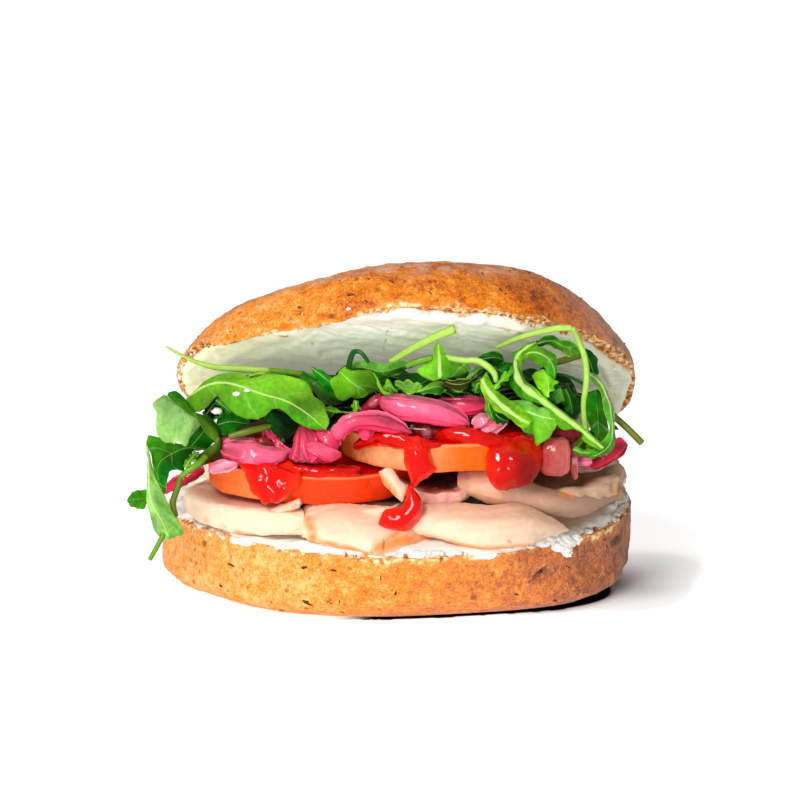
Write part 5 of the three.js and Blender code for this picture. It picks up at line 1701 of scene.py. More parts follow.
# Leaves that the photograph shows, whose tints paint the light and shade on them. rib_mm and rim are the
# widths of the pale midrib and of the painted highlight along the rim in millimetres, bow is how far the
# blade is hollowed, and along how many rings a leaf has where it isn't 56.
LEAVES = (
    leaf(
        (3.0, 0.8), "bright bright bright grass",
        (187, 399, -37, 197, 392, -39, 210, 385, -41, 223, 383, -42, 240, 386, -43.5, 262, 394, -44.5,
         290, 403, -44.5, 308, 414, -43.5, 325, 429, -41.5),
        (187, 398, 196, 390, 208, 381, 222, 375, 232, 373, 242, 373, 252, 378, 262, 375.5, 273, 374,
         285, 376, 297, 378.5, 306, 382, 312, 389, 313, 395, 324, 403, 325, 410, 328.5, 419, 328, 427,
         325.5, 430),
        (187, 400, 191, 407, 197, 412, 204, 409.5, 211, 401, 217, 395.5, 223.5, 402, 231, 409.5, 238, 415,
         248, 419, 258, 419.5, 266, 415.5, 272, 410, 279, 408.5, 286, 412.5, 293, 419.5, 300, 424,
         311, 429, 324, 430.5),
        rib_mm=0.7, bow=0.6,
    ),
    leaf(
        (0.3, -2.0), "pale",
        (164, 396, -41, 171, 402, -43, 178, 408, -44, 190, 416.5, -45, 199, 424.5, -44),
        (163.5, 395, 172, 400.5, 179, 406.5, 190.5, 415, 199.5, 423.5),
        (163, 396, 153, 404, 157, 414, 156, 425, 157.5, 435, 165.5, 443, 170.5, 442.5, 175.5, 445,
         177.5, 441, 184.5, 446.5, 188.5, 439, 192, 437, 196, 430, 199.3, 425.6),
        rib_mm=0.0, bow=0.8,
    ),
    leaf(
        (2.5, 1.0), "mid brown grass olive",
        (168, 393.5, -39, 186, 405, -39, 203, 419, -38.5, 214, 430, -38, 218, 443, -38, 210, 455, -39,
         199, 463, -40.5),
        (168, 392.5, 173, 392, 186, 400, 195, 412, 207, 417.5, 216, 425, 222.5, 436, 224, 444, 220, 455,
         211, 462, 201, 466),
        (167, 395.5, 179, 407, 190, 416, 199.5, 424, 203.5, 431, 208, 436, 213, 439, 215.5, 444,
         213, 446.5, 205.5, 449.5, 198, 455, 195.2, 458.5, 200, 465),
        rib_mm=0.0,
    ),
    leaf(
        (1.0, 1.0), "mid deep deep mid",
        (189, 448, -33, 198, 438, -33, 206, 428, -33, 210, 424, -33),
        (186, 447, 190, 436, 197, 427, 206, 421),
        (198, 451, 208, 448, 216, 440, 216, 432, 212, 424),
        rib_mm=0.3,
    ),
    leaf(
        (0.5, 0.5), "fresh",
        (185, 467, -43, 190, 460, -43, 195.5, 452, -43),
        (184.2, 466, 186.5, 460, 190, 455.5, 195.5, 451),
        (187, 467, 193, 462, 197, 456, 198.5, 451),
    ),
    leaf(
        (-0.5, 1.5), "grass grass deep mid",
        (200, 449.5, -40, 185, 448, -42, 172, 453, -43.5, 163, 458, -44.5, 158, 464, -45,
         156.5, 472, -45.5, 158, 481, -46, 162, 489, -46.3, 164.4, 494, -46.3),
        (200, 447.5, 185, 444.5, 168, 442, 156, 436.5, 148, 435.5, 146.4, 444.5, 149, 453, 152.5, 467,
         157, 481.5, 164.2, 494),
        (200, 450.3, 193.5, 450.8, 189, 458, 184.8, 466, 181.5, 471.8, 176, 469.5, 171, 471.5, 168, 476.5,
         166.4, 483, 165.6, 490, 164.8, 494),
        rib_mm=0.25,
    ),
    leaf(
        (1.0, 1.0), "pale pale pale misty",
        (147, 446, -46, 148.5, 462, -46.5, 148.5, 478, -47, 149, 492, -47.5, 152.5, 504, -48,
         160, 516, -48, 166, 528, -48, 170, 538, -47.5),
        (146, 445, 147.4, 458, 147.2, 472, 146.9, 486, 147.5, 500.6, 149.8, 511, 151.5, 521, 153, 529,
         158.7, 535, 167, 539.3),
        (147.5, 444.5, 149.5, 453, 151.7, 464.2, 154.9, 475.7, 158.7, 484.6, 163.2, 493, 167.6, 501.2,
         172, 510.2, 177.2, 519, 183, 529.3, 183, 533, 177.8, 536.5, 169, 539.3),
        rib_mm=0.5, bow=0.8,
    ),
    leaf(
        (1.0, 1.0), "grass",
        (150, 495, -38, 141, 497.5, -40, 133, 499, -41, 127.5, 500, -41),
        (149, 490, 142, 490, 136, 491, 130.5, 493.5, 127, 499),
        (149, 501, 143, 507, 137.5, 509, 133, 506, 129.5, 505, 127, 501),
        rib_mm=0.2, bow=0.6,
    ),
    leaf(
        (1.0, 1.0), "deep mid misty dark",
        (289, 371, -34, 305, 377, -36, 320, 388, -38, 337, 399, -38),
        (290, 369.5, 303, 371, 312, 375, 322, 383, 335, 390),
        (290, 376, 300, 380, 312, 392, 322, 399, 334, 406, 342, 402),
        rib_mm=0.0,
    ),
    leaf(
        (1.0, 0.5), "mid",
        (312.5, 368.5, -37, 321, 375, -38.5, 334, 385, -39),
        (312.5, 367.5, 317, 368.8, 325, 372.8, 331, 378.5, 335, 384),
        (312.3, 369, 315, 376, 320, 382, 326, 387, 334, 389),
    ),
    leaf(
        (2.0, 2.0), "fresh dark fresh grass",
        (340.5, 371, -38.5, 346, 377, -40.5, 353, 382.5, -41.5, 361, 387, -41, 369, 391.5, -39),
        (341, 370, 345, 366.5, 349, 369, 353, 371, 364, 370.5, 371.5, 370.5, 374, 376, 377, 384, 378, 390,
         372, 391.5),
        (340, 373, 335.5, 380, 331.5, 382.5, 332, 388, 333.5, 394, 338.5, 398.2, 344.5, 399.6, 350, 397.5,
         355, 399, 361, 396, 368, 392.3),
        rib_mm=0.3, bow=0.7,
    ),
    leaf(
        (0.5, 0.5), "fresh olive fresh fresh",
        (355, 399.5, -41, 356.5, 406, -41.5, 356, 413, -41.5),
        (355, 399.5, 358.6, 403.5, 360, 408.5, 357.5, 412.8),
        (355, 399.5, 353, 404, 352.8, 408.5, 355, 412.3),
    ),
    leaf(
        (0.5, 0.5), "grass fresh deep bright",
        (325, 409, -37, 334, 411, -37.5, 342, 412.3, -38, 353, 412.4, -39),
        (325, 407, 330.5, 405.6, 336, 408.3, 341, 411, 353, 411.8),
        (325, 411.5, 328, 414.5, 329.5, 417.5, 336, 414, 344, 413.2, 353, 413),
    ),
    leaf(
        (1.0, 2.0), "misty grass grass deep",
        (351.5, 366, -36, 365, 367, -37.5, 380, 370, -38, 395, 367.5, -38, 408, 364.5, -38, 413, 367, -38),
        (351, 368, 352.5, 364, 358, 361.3, 373, 361.3, 385, 364.3, 392, 363, 402, 360.3, 412, 366),
        (352, 369.5, 362, 371, 372, 374, 380, 381, 392, 374.5, 402, 370.5, 412, 368),
        rim=0.8,
    ),
    leaf(
        (1.5, -0.5), "misty misty bright bright",
        (395, 383.5, -38.5, 404, 387.5, -40, 413, 388, -40.5, 421.5, 386.5, -40),
        (395, 382.5, 405, 381, 415, 382.5, 422, 386),
        (395.5, 385, 399, 388, 405, 393, 410.5, 394.4, 416, 392.7, 421.5, 388),
        rim=0.9, bow=-0.8,
    ),
    leaf(
        (0.5, 0.5), "fresh brown mid deep",
        (416, 392, -40.5, 427, 388.5, -41, 438, 386, -41, 443, 389, -40.5),
        (416, 391.5, 425, 387, 432, 382.3, 440, 381.5, 445, 386),
        (416.5, 393.2, 425, 393.4, 435, 393.6, 443, 393.2, 446, 390),
        rim=0.7,
    ),
    leaf(
        (0.5, 0.5), "fresh fresh misty deep",
        (384, 388, -38.5, 389, 385, -39, 396, 391, -39),
        (383, 387.5, 389.3, 378.8, 393, 386, 398.5, 391.5),
        (383, 389, 388, 391.5, 398, 392.5),
    ),
    leaf(
        (1.0, 1.0), "fresh fresh grass bright",
        (440, 378, -41, 439.6, 370, -40.5, 439.3, 360.6, -39.5, 438.6, 349, -38.5, 438.3, 343, -38),
        (438, 379.5, 432, 381, 425, 378, 420, 374.8, 416.2, 370, 424, 366.4, 431, 362, 433, 357,
         433.5, 349, 435.5, 343.8),
        (441.5, 379.5, 446, 379, 456.5, 376, 468.5, 371.5, 461, 368.5, 450.5, 362, 446.5, 355.5,
         443.5, 349, 441.5, 345.3),
        rib_mm=1.0, bow=0.6,
    ),
    leaf(
        (0.5, 0.5), "misty pale misty pale",
        (458, 369.5, -38.5, 463, 365, -38.5, 467, 360, -38),
        (457.5, 367.5, 461, 362, 466.4, 359.2),
        (460, 371.3, 468.5, 371, 469.5, 364.5, 467, 360),
    ),
    leaf(
        (0.0, 1.0), "brown deep brown deep",
        (446, 381, -40, 457, 383, -40.5, 468, 380, -40, 478, 373, -39, 485, 367, -37.5),
        (445.5, 379, 456.5, 379.4, 468, 377, 476, 371.5, 484.5, 366),
        (444, 382, 449, 388.5, 453, 390.5, 464, 388, 475.5, 381.5, 481, 375, 485, 368),
        rim=0.8,
    ),
    leaf(
        (0.5, 0.5), "misty pale pale misty",
        (466, 377.5, -39.5, 476, 371.5, -38.5, 484.5, 365.5, -37),
        (466, 376.5, 474, 368.5, 483.5, 363),
        (467, 378.3, 477, 374, 485.5, 367.5),
        rim=0.9,
    ),
    leaf(
        (0.5, 1.5), "deep mid dark deep",
        (478.5, 359, -36, 487, 357.5, -37, 496, 356, -37.5, 503.5, 359.5, -37),
        (478.5, 357, 485, 353.5, 495.5, 350.8, 500, 352.2, 504, 358.5),
        (479.5, 361, 487, 364.5, 497, 365.5, 503, 362),
        rim=0.8,
    ),
    leaf(
        (1.0, 1.0), "mid mid deep deep",
        (486, 363, -34.5, 498, 369, -35.5, 512, 374, -36),
        (488, 358, 502, 361, 513, 363),
        (487, 370, 498, 381, 511, 388),
    ),
    leaf(
        (1.0, 1.0), "fresh fresh lime fresh",
        (483, 380.5, -40.5, 489.7, 392, -42.5, 500.6, 403.4, -44, 513.3, 413.7, -45, 529, 422.8, -45.3),
        (487.2, 372.2, 490.4, 380.5, 494.5, 387, 498, 391.5, 507.6, 398.3, 516.5, 404.7, 529.3, 414.3,
         532.5, 421),
        (479, 380.5, 484.6, 393.9, 486, 400.3, 490, 405, 495.5, 409.8, 503.8, 413.3, 510, 419.4,
         516.5, 424.5, 524, 426.3, 530.5, 424.5),
        rib_mm=1.2, bow=0.6,
    ),
    leaf(
        (0.5, 0.5), "bright grass fresh grass",
        (494, 388.5, -43, 500, 381, -42.5, 507, 376, -41.5, 511.5, 366.5, -40.5),
        (492.5, 386, 497.4, 382, 500, 378, 503.8, 372.8, 507.6, 372, 511, 366),
        (497, 387.8, 501.2, 383.9, 507, 379.4, 511.3, 374.7, 512, 367),
    ),
    leaf(
        (0.3, 0.3), "grass mid bright grass",
        (487.5, 399, -41.5, 489.5, 409, -42, 493, 420, -42.3),
        (491, 401, 494, 408, 496.5, 414, 494.8, 421.5),
        (485.7, 399, 485.6, 411, 489.7, 417, 493.5, 421.8),
    ),
    leaf(
        (0.5, 0.5), "deep",
        (495, 413, -41.5, 501, 418, -41.8, 507.5, 421.5, -41.5),
        (497, 409.5, 504, 413, 509, 418),
        (493.5, 417, 498, 422.7, 503, 424.3, 508, 423),
    ),
    leaf(
        (0.5, 0.5), "grass",
        (478.5, 383, -40, 476, 388, -40.5, 475.5, 392.5, -40.5),
        (479.8, 384, 479.3, 389, 476.5, 392.8),
        (476, 383, 472.7, 387, 473.2, 391, 475, 392.8),
    ),
    leaf(
        (1.0, 1.5), "bright fresh mid fresh",
        (515.3, 359, -38.5, 516.6, 373.5, -40.5, 520.5, 382.5, -41.5, 529.5, 391.3, -43, 540, 398.3, -44,
         555, 409.5, -45.3, 576.5, 425.7, -46.3, 591.8, 438, -46.6, 603, 447.5, -46.4),
        (517.5, 359, 521, 368, 523.3, 376, 528, 382.5, 533, 386.5, 541, 395.2, 549, 401, 563, 411.5,
         576, 421.5, 592.5, 434.8, 604.5, 446),
        (513.5, 361, 511.9, 378, 512, 384.5, 517, 391, 521, 396.5, 530, 401.5, 541, 405.5, 552, 413.5,
         558.5, 422, 566, 429, 573.5, 428.2, 580, 431.5, 583.5, 436, 581.5, 439, 587.5, 443.2, 595, 446.5,
         601, 449.5),
        rib_mm=1.3, bow=0.4, along=70,
    ),
    leaf(
        (1.0, 1.0), "fresh fresh fresh bright",
        (547.5, 398, -43.8, 548.5, 389, -43, 547, 379, -42.3, 542.5, 369.5, -41.5),
        (545.6, 398, 540, 391, 535, 383, 532.5, 375.8, 537, 371.5, 541, 369.3),
        (549, 398, 549.5, 393.5, 555.5, 390, 553.5, 385.5, 557.5, 382.6, 550, 376, 543.5, 370),
        rib_mm=0.35, bow=0.5,
    ),
    leaf(
        (0.8, 0.8), "grass bright fresh fresh",
        (515.5, 359, -39, 521, 351.5, -39.5, 528, 346, -40, 536, 342, -40),
        (513.3, 358, 513.3, 352.5, 520, 348.3, 529, 342.8, 537.5, 341),
        (518, 361.5, 523.6, 363.3, 526, 356, 530, 353, 534.5, 350, 538.4, 343.5),
        rib_mm=0.7,
    ),
    leaf(
        (1.0, 1.0), "bright mid bright mid",
        (526.5, 355, -39.5, 533.6, 353, -41, 541, 353.5, -42, 549, 359, -42.5, 554.3, 371, -42.5,
         553, 378, -42),
        (526.5, 354, 535, 348.8, 543, 348.4, 550.6, 352, 556.2, 359, 557, 368, 555.7, 375.5, 553.5, 378.7),
        (527, 356.3, 532, 360.8, 541.2, 365.3, 548.9, 373.8, 552, 378.7),
        rib_mm=0.35, bow=0.8,
    ),
    leaf(
        (0.5, 1.0), "mid grass dark bright",
        (537.5, 343, -40.5, 546, 340.5, -41, 554, 340, -41, 562, 344.5, -41, 570, 347.5, -41,
         578.5, 353, -40.5),
        (537.3, 340.8, 545, 336, 553.5, 335, 560, 339.8, 568.5, 340.4, 576, 345, 580.3, 353),
        (539, 346, 548.9, 345, 556, 348, 563, 352.5, 570.3, 355.2, 578, 356),
        rim=0.9,
    ),
    leaf(
        (1.0, 1.0), "dark deep deep dark",
        (585, 351, -36, 590, 361, -37, 593, 371, -37.5, 595, 376.5, -37.5),
        (584.8, 348.8, 593.2, 352.8, 597.3, 362, 598.2, 371.5, 595.5, 376.7),
        (585, 353.5, 586.5, 362, 589.4, 371.2, 594, 376.8),
        rib_mm=0.2,
    ),
    leaf(
        (1.5, -0.5), "sage grass misty grass",
        (588, 373.5, -39, 597.5, 381.5, -40.5, 604.5, 394.5, -42, 609, 413, -43, 610, 428, -43.5,
         609.5, 438, -43.5, 605, 446.5, -43.5, 598, 451.5, -43.5, 590.5, 455, -43),
        (588.5, 372.5, 599, 378, 607.3, 392, 611.9, 413.4, 614.2, 430, 615.8, 438.5, 612.3, 444.8,
         606.7, 451.7, 599.6, 456, 591, 457),
        (588, 375, 595, 385, 601, 397, 605.4, 413, 607.6, 426.5, 605.5, 436, 600.5, 444, 594, 447.5,
         588, 452),
        rib_mm=0.6, bow=0.5,
    ),
    leaf(
        (1.0, 2.0), "deep grass mid grass",
        (595.5, 390.5, -38.5, 596.5, 405, -39, 598, 420, -39.5, 598, 435, -40, 591, 447, -40.5),
        (597, 388.5, 601.5, 397, 606, 413, 608.4, 427, 607, 437, 601, 447),
        (594, 390, 585, 396.5, 584.5, 406.6, 587.5, 415, 590, 425, 588.5, 437, 586, 448),
        rim=0.0, bow=-0.8,
    ),
    leaf(
        (1.0, 0.5), "grass grass bright grass",
        (573.5, 449, -42.5, 583, 452, -43, 592, 451.5, -43.5, 601, 450, -43.5),
        (573.3, 450.5, 583.5, 455.2, 592, 456.8, 600.5, 455.5),
        (576.5, 447, 584.9, 449.8, 592, 446.5, 600.5, 445),
    ),
    leaf(
        (0.5, 0.5), "olive deep brown deep",
        (575, 449, -39, 582, 441, -39, 590, 432, -39),
        (572.5, 449, 577, 437, 586, 428),
        (586, 451, 592, 443, 594, 432),
        rim=0.0,
    ),
    leaf(
        (0.5, 0.5), "deep mid mid misty",
        (548, 398, -39.5, 554.5, 392, -40.5, 561, 388, -40.5),
        (547, 397, 551, 388.5, 556.5, 384, 561, 387),
        (550, 400.5, 557, 402, 563.5, 402, 563, 393),
    ),
    leaf(
        (0.5, 0.5), "grass deep deep dark",
        (566, 389, -37, 570, 401, -37.5, 572, 414, -38),
        (562.5, 389, 562, 400, 566, 413),
        (569, 388, 576, 397, 578.5, 412, 575, 420),
    ),
    leaf(
        (1.5, 0.5), "misty misty grass bright",
        (509, 404, -42, 519, 408, -42.5, 527, 411, -43, 534.4, 413.4, -43.5, 545.9, 417.3, -44.3,
         556.3, 419.8, -44.3),
        (508, 401.2, 518, 399.4, 527.5, 398.8, 532, 402, 537, 406, 549.7, 409.4, 556.4, 415.5),
        (512, 410, 518, 419, 521.5, 427, 526, 432.8, 531, 434.4, 536.5, 438.7, 537.3, 444.5, 543, 442,
         549, 438, 554, 431, 557.2, 423.5),
        rib_mm=0.6, bow=0.6,
    ),
    leaf(
        (0.5, 0.5), "night night deep night",
        (271, 409, -39, 278, 424, -40, 284, 441.5, -40.5),
        (279, 406, 291, 415, 299, 423, 292, 433, 284.5, 442),
        (263, 414, 268, 423, 275, 434, 283, 442),
        rib_mm=0.0, rim=0.2,
    ),
    leaf(
        (0.5, 0.5), "misty mid mid mid",
        (217, 399.5, -38, 223, 404.5, -38.5, 231, 412, -38.5),
        (217, 397.5, 225, 400, 232, 409),
        (217, 402, 221, 407, 229, 413),
    ),
    leaf(
        (1.0, 1.0), "deep mid mid deep",
        (218, 424, -35, 231, 421, -36, 250, 424, -37),
        (217, 418, 232, 412, 250, 418),
        (222, 438, 234, 433, 252, 428),
        rib_mm=0.25,
    ),
    leaf(
        (1.0, 1.0), "night dark dark night",
        (207, 413, -33, 215, 403, -33.5, 224, 398, -34),
        (204, 410, 211, 398, 220, 392),
        (212, 420, 221, 412, 229, 405),
        rim=0.0,
    ),
    leaf(
        (0.3, 0.3), "stem_dark stem_dark olive olive",
        (247, 377, -39, 259, 373.2, -40, 273, 374.5, -40.5),
        (247, 376, 258, 371.8, 273, 373.3),
        (247.5, 378.5, 259, 375.5, 273, 376),
    ),
)

# Stalks that show: across, down, depth, width and thickness at each point, the last three in millimetres
STALKS = (
    ("stem_dark", (165, 531, -48, 1.1, 1.0, 158, 545, -48.5, 1.1, 1.0, 149.5, 560, -48.5, 1.0, 0.9)),
    ("stem_dark", (206, 456, -42, 1.5, 1.1, 199, 463, -44, 1.5, 1.1, 189, 470.5, -45, 1.4, 1.1,
     180, 477, -45, 1.2, 1.0)),
    ("olive", (181, 476, -44.5, 1.2, 1.0, 177.5, 488, -45, 1.4, 1.1, 173, 503, -45.5, 1.4, 1.1,
     176, 517, -45.5, 1.2, 1.0)),
    ("stem", (166, 346.5, -36, 0.5, 0.5, 190, 359.5, -36, 0.9, 0.9, 212, 366.5, -36, 1.3, 1.2,
     240, 369, -36, 1.5, 1.3, 275, 371, -36, 1.4, 1.3)),
    ("stem_dark", (268, 370.5, -36.3, 1.3, 1.2, 285, 372, -36, 1.3, 1.2, 305, 375, -35, 1.2, 1.1,
     328, 381, -34, 1.1, 1.0)),
    ("olive", (228.5, 437, -41, 1.5, 1.3, 250, 431, -40.5, 1.6, 1.4, 272, 425.5, -39, 1.5, 1.3)),
    ("brown", (240, 430, -37, 1.2, 1.0, 256, 424, -38, 1.2, 1.0, 270, 419.5, -38, 1.2, 1.0)),
    ("stem", (390, 362, -36, 1.3, 1.1, 411, 349.5, -39, 1.6, 1.3, 434, 337.5, -42, 1.9, 1.4,
     455, 329, -44, 2.0, 1.4)),
    ("stem_dark", (406, 366, -38, 1.5, 1.2, 418, 361.5, -39, 1.6, 1.2, 433, 357.5, -39, 1.6, 1.2)),
    ("stem", (445, 357, -38.5, 1.4, 1.2, 464, 360.2, -40, 1.4, 1.2, 476, 360.5, -40.5, 1.5, 1.3,
     487, 366, -41.5, 1.5, 1.3, 494.5, 374, -42, 1.4, 1.2, 496.3, 382.5, -42, 0.9, 0.8)),
    ("stem", (497, 347, -35, 1.0, 0.9, 517, 338.5, -38, 1.2, 1.0, 540, 332, -40, 1.4, 1.1,
     557, 328.6, -41, 1.5, 1.1, 571, 328.3, -42, 1.4, 1.1)),
    ("stem", (571.5, 328, -42, 1.3, 1.1, 578.5, 341, -43, 1.3, 1.1, 584, 355, -43.5, 1.4, 1.2,
     586.5, 371, -44, 1.4, 1.2, 586, 386, -44, 1.4, 1.2, 583.5, 402, -43, 1.2, 1.0,
     584, 418, -42, 1.2, 1.0, 586.5, 434, -42, 1.0, 0.9)),
    ("olive", (612, 414.5, -36, 1.5, 1.4, 627, 428, -38, 1.5, 1.4, 642.5, 443.5, -39.5, 1.5, 1.4)),
    ("deep", (348.5, 370, -39, 1.0, 0.6, 350.2, 360, -40, 1.3, 0.5, 354, 352, -40.5, 1.2, 0.5,
     359, 351.5, -41, 1.0, 0.5, 365, 357, -41.5, 0.9, 0.5, 369, 363, -41.5, 0.7, 0.5)),
    ("fresh", (372.8, 373, -39.5, 0.6, 0.5, 377, 380, -40, 0.8, 0.5, 380, 387, -40.5, 0.9, 0.6,
     384.5, 392.7, -40.5, 0.9, 0.6, 389.5, 393.5, -40.5, 0.5, 0.4)),
    ("olive", (556, 362.5, -36, 1.4, 1.2, 568, 359, -37, 1.5, 1.2, 581, 355.5, -38, 1.3, 1.1)),
    ("deep", (555, 374, -37, 0.7, 0.6, 567, 376, -37.5, 0.7, 0.6, 583, 383.5, -38, 0.7, 0.6)),
    ("deep", (611.5, 425, -40, 0.5, 0.4, 615, 427.5, -40.5, 0.9, 0.5, 618.3, 429.5, -41, 0.3, 0.3)),
)


def dressed_leaf(skin, made, tints, back, rib_mm, rim):
    """Adds a leaf's grid to a skin with its tint, vein, rib and rim values. tints are the front's colours at
    one edge's start and end and at the other edge's start and end, which paint light and shade on it; back is
    the other face's colour."""
    grid, t, s, front = made
    corners = tones(*(GREENS[name] for name in tints))
    tint = blend(blend(*corners[:2], t), blend(*corners[2:], t), smooth(s, -0.35, 0.35))
    tint = tint * (1 + 0.5 * noise(grid, 5.5, 101) + 0.25 * noise(grid, 1.9, 102))[..., None]
    tint = blend(tint, *tones(GREENS[back]), 1 - front)
    last = grid.shape[1] // 2
    middle = grid[:, last // 2]
    to_first, to_second = (np.linalg.norm(middle - grid[:, edge], axis=-1)[:, None] for edge in (0, last))
    half = np.where(s < 0, to_first, to_second)
    from_rib = np.abs(s) * half
    line = grid[:, grid.shape[1] // 4]
    along = np.concatenate([[0], np.cumsum(np.linalg.norm(np.diff(line, axis=0), axis=1))])[:, None]
    rib = np.minimum(0.5 * rib_mm * (1 - 0.55 * t), 0.25 * half)
    skin.add(
        grid, tint=tint, vein=along - 0.9 * from_rib, from_rib=from_rib, from_rim=half - from_rib, rib=rib,
        rim=np.minimum(0.5 * rim, 0.3 * half),
    )


def lobed(t, lobes, phase):
    """Half width of a rocket leaf as a share, from stalk to tip: a round-ended blade notched into lobes that
    run together towards the tip."""
    envelope = np.sin(np.pi * np.minimum(1, 0.06 + 0.9 * t) ** 0.8) ** 0.6
    notch = (0.5 + 0.5 * np.cos(2 * np.pi * lobes * t * 0.8 + phase)) ** 1.5
    return envelope * (1 - 0.6 * (1 - smooth(t, 0.55, 0.85)) * notch * (lobes > 0))


def free_leaf(rib, width, face, lobes, random, thickness):
    """A leaf away from the photograph's view: its rib's points, its width and the way its upper face looks,
    in millimetres, with lobed edges."""
    at = eased(34)
    curve = spline(rib, at)
    tangent = unit(np.gradient(curve, axis=0))
    side = unit(np.cross(tangent, np.asarray(face, float)))
    lift = np.cross(side, tangent)
    phases = random.uniform(0, 6.3, 2)
    edges = []
    for sign, phase in zip((-1, 1), phases):
        half = 0.5 * width * lobed(at, lobes, phase)[:, None]
        ruffled = 0.16 * width * np.sin(9 * at + phase)[:, None]
        edges.append(curve + sign * half * side + (0.25 * half + ruffled) * lift)
    return sheet(curve, *edges, at, 9, thickness, power=6.0, bow=0.2, ridge=0.12, quilt=0.08)


# Leaves that hang out at the sides and towards the back, as in the part's source: rib, width, face, lobes
SIDE_LEAVES = (
    ([(-38, -16, 45), (-45, -15, 44), (-50, -15, 39.5)], 7.0, (-0.4, 0, 0.9), 2),
    ([(38, -10, 43), (44, -9, 42), (48, -8, 38)], 7.0, (0.4, 0, 0.9), 2),
    ([(-26, 6, 36.5), (-37, 16, 31.5), (-45, 21, 26)], 6.4, (-0.3, 0.3, 0.9), 2),
    ([(24, 7, 36), (33, 18, 30.5), (40, 25, 25)], 6.2, (0.3, 0.3, 0.9), 2),
)
# Leaves strewn in the heap: how many, over what half width and half depth round what middle, and the bounds
# in x and y that they stay in
HEAP_LEAVES = 120
HEAP_HALF_WIDTH = 43
HEAP_HALF_DEPTH = 23
HEAP_MIDDLE = -13
HEAP_BOUNDS = ((-47, 47), (-35, 13))
# Heights in the heap: of what it lies on, how much more that is over the onions in front, how much less it is
# beside the tomatoes, and the highest that a leaf's and the core's top may be
HEAP_FLOOR = 41.4
ONION_RISE = 6.5
SIDE_DROP = 4
LEAF_CEILING = 54
CORE_CEILING = 52


def heap_floor(x, y):
    """Height of what the heap lies on."""
    over_onions = ONION_RISE * smooth(-y, 26, 31)
    beside = SIDE_DROP * smooth(np.abs(x - 11), 24, 34)
    return HEAP_FLOOR + over_onions - beside


def heap_ceiling(y):
    """Height of the upper spread's underside."""
    return SPREAD_UNDERSIDE - SPREAD_SLOPE * y - 0.8


def strewn_rib(random):
    """Four points along a leaf strewn in the heap, which sags between what it lies on and the upper
    spread."""
    angle = random.uniform(0, 2 * np.pi)
    out = np.sqrt(random.uniform(0.25, 1.0))
    heading = random.uniform(0, 2 * np.pi)
    steps = np.array([-0.5, -0.17, 0.17, 0.5])
    along = steps * random.uniform(16, 30)
    x = HEAP_HALF_WIDTH * out * np.cos(angle) + np.cos(heading) * along
    y = HEAP_MIDDLE + HEAP_HALF_DEPTH * out * np.sin(angle) + 0.6 * np.sin(heading) * along
    x, y = (np.clip(place, *bounds) for place, bounds in zip((x, y), HEAP_BOUNDS))
    share = random.uniform(0.15, 0.85)
    sag = random.uniform(1.0, 3.0)
    high = np.minimum(heap_ceiling(y) - 0.8, LEAF_CEILING)
    low = np.minimum(heap_floor(x, y) + 0.6, high - 1)
    return np.stack([x, y, low + (high - low) * share - sag * (2 * steps) ** 2], axis=-1)


def heap_core():
    """A lumpy body that fills the heap between its floor and its ceiling, dark as painted shade."""
    grid, _, high = slab((39, 21.5, 1), 2.6, 0.5, around=160)
    x, y = grid[..., 0], grid[..., 1] - 11.5
    ceiling = np.minimum(heap_ceiling(y) - 1.5, CORE_CEILING)
    floor = np.minimum(heap_floor(x, y) + 1.0, ceiling - 1.5)
    grid = np.stack([x, y, floor + (ceiling - floor) * high], axis=-1)
    return raised(grid, 1.1 * noise(grid, 4, 90) - 0.8)


class SANDWICH_OT_rocket(Operator):
    """Heaps the rocket leaves over a dark core of painted shade"""

    bl_idname = "sandwich.rocket"
    bl_label = "Rocket leaves"

    def execute(self, context):
        thickness = context.scene.sandwich_sizes.leaf_thickness / MM
        material = leaf_material()
        shown = Skin()
        for number, one in enumerate(LEAVES):
            made = seen_sheet(
                {**one, "thickness": thickness}, one.get("along", 56), 15, 0.35, 0.7, under_spread=True,
                power=6.0, bow=one.get("bow", 0.3), fold=0.25, ruffle=(0.65, 2.6), phase=number, ridge=0.2,
                quilt=0.28,
            )
            dressed_leaf(shown, made, one["tints"], "misty", one.get("rib_mm", 0.24), one.get("rim", 0.3))
        shown.piece("rocket_front_leaves", material, "rocket", "rocket")
        heap = Skin()
        random = np.random.default_rng(19)
        for rib, width, face, lobes in SIDE_LEAVES:
            made = free_leaf(rib, width, face, lobes, random, thickness)
            dressed_leaf(heap, made, ("bright", "grass", "grass", "bright"), "misty", 0.5, 0.5)
        for _ in range(HEAP_LEAVES):
            rib = strewn_rib(random)
            # the heap's leaves are dark greens, as painted shade inside the heap
            colours = random.choice(["dark", "deep", "night", "deep", "mid"], 4)
            face = (random.uniform(-0.5, 0.5), random.uniform(-0.7, 0.2), 1)
            made = free_leaf(rib, random.uniform(5, 9), face, int(random.integers(0, 4)), random, thickness)
            dressed_leaf(heap, made, colours, "dark", 0.2, 0.25)
        heap.piece("rocket_heap_leaves", material, "rocket")
        # A dark green for the core, painted shade in the heap's gaps
        shade = plain_material(
            "rocket_leaf_shade", to_linear("#052405"), 0.7, 5.0, 0.3, 0.6, Specular_IOR_Level=0.1,
        )
        core = Skin()
        core.add(heap_core())
        core.piece("rocket_core", shade, "rocket")
        return {"FINISHED"}


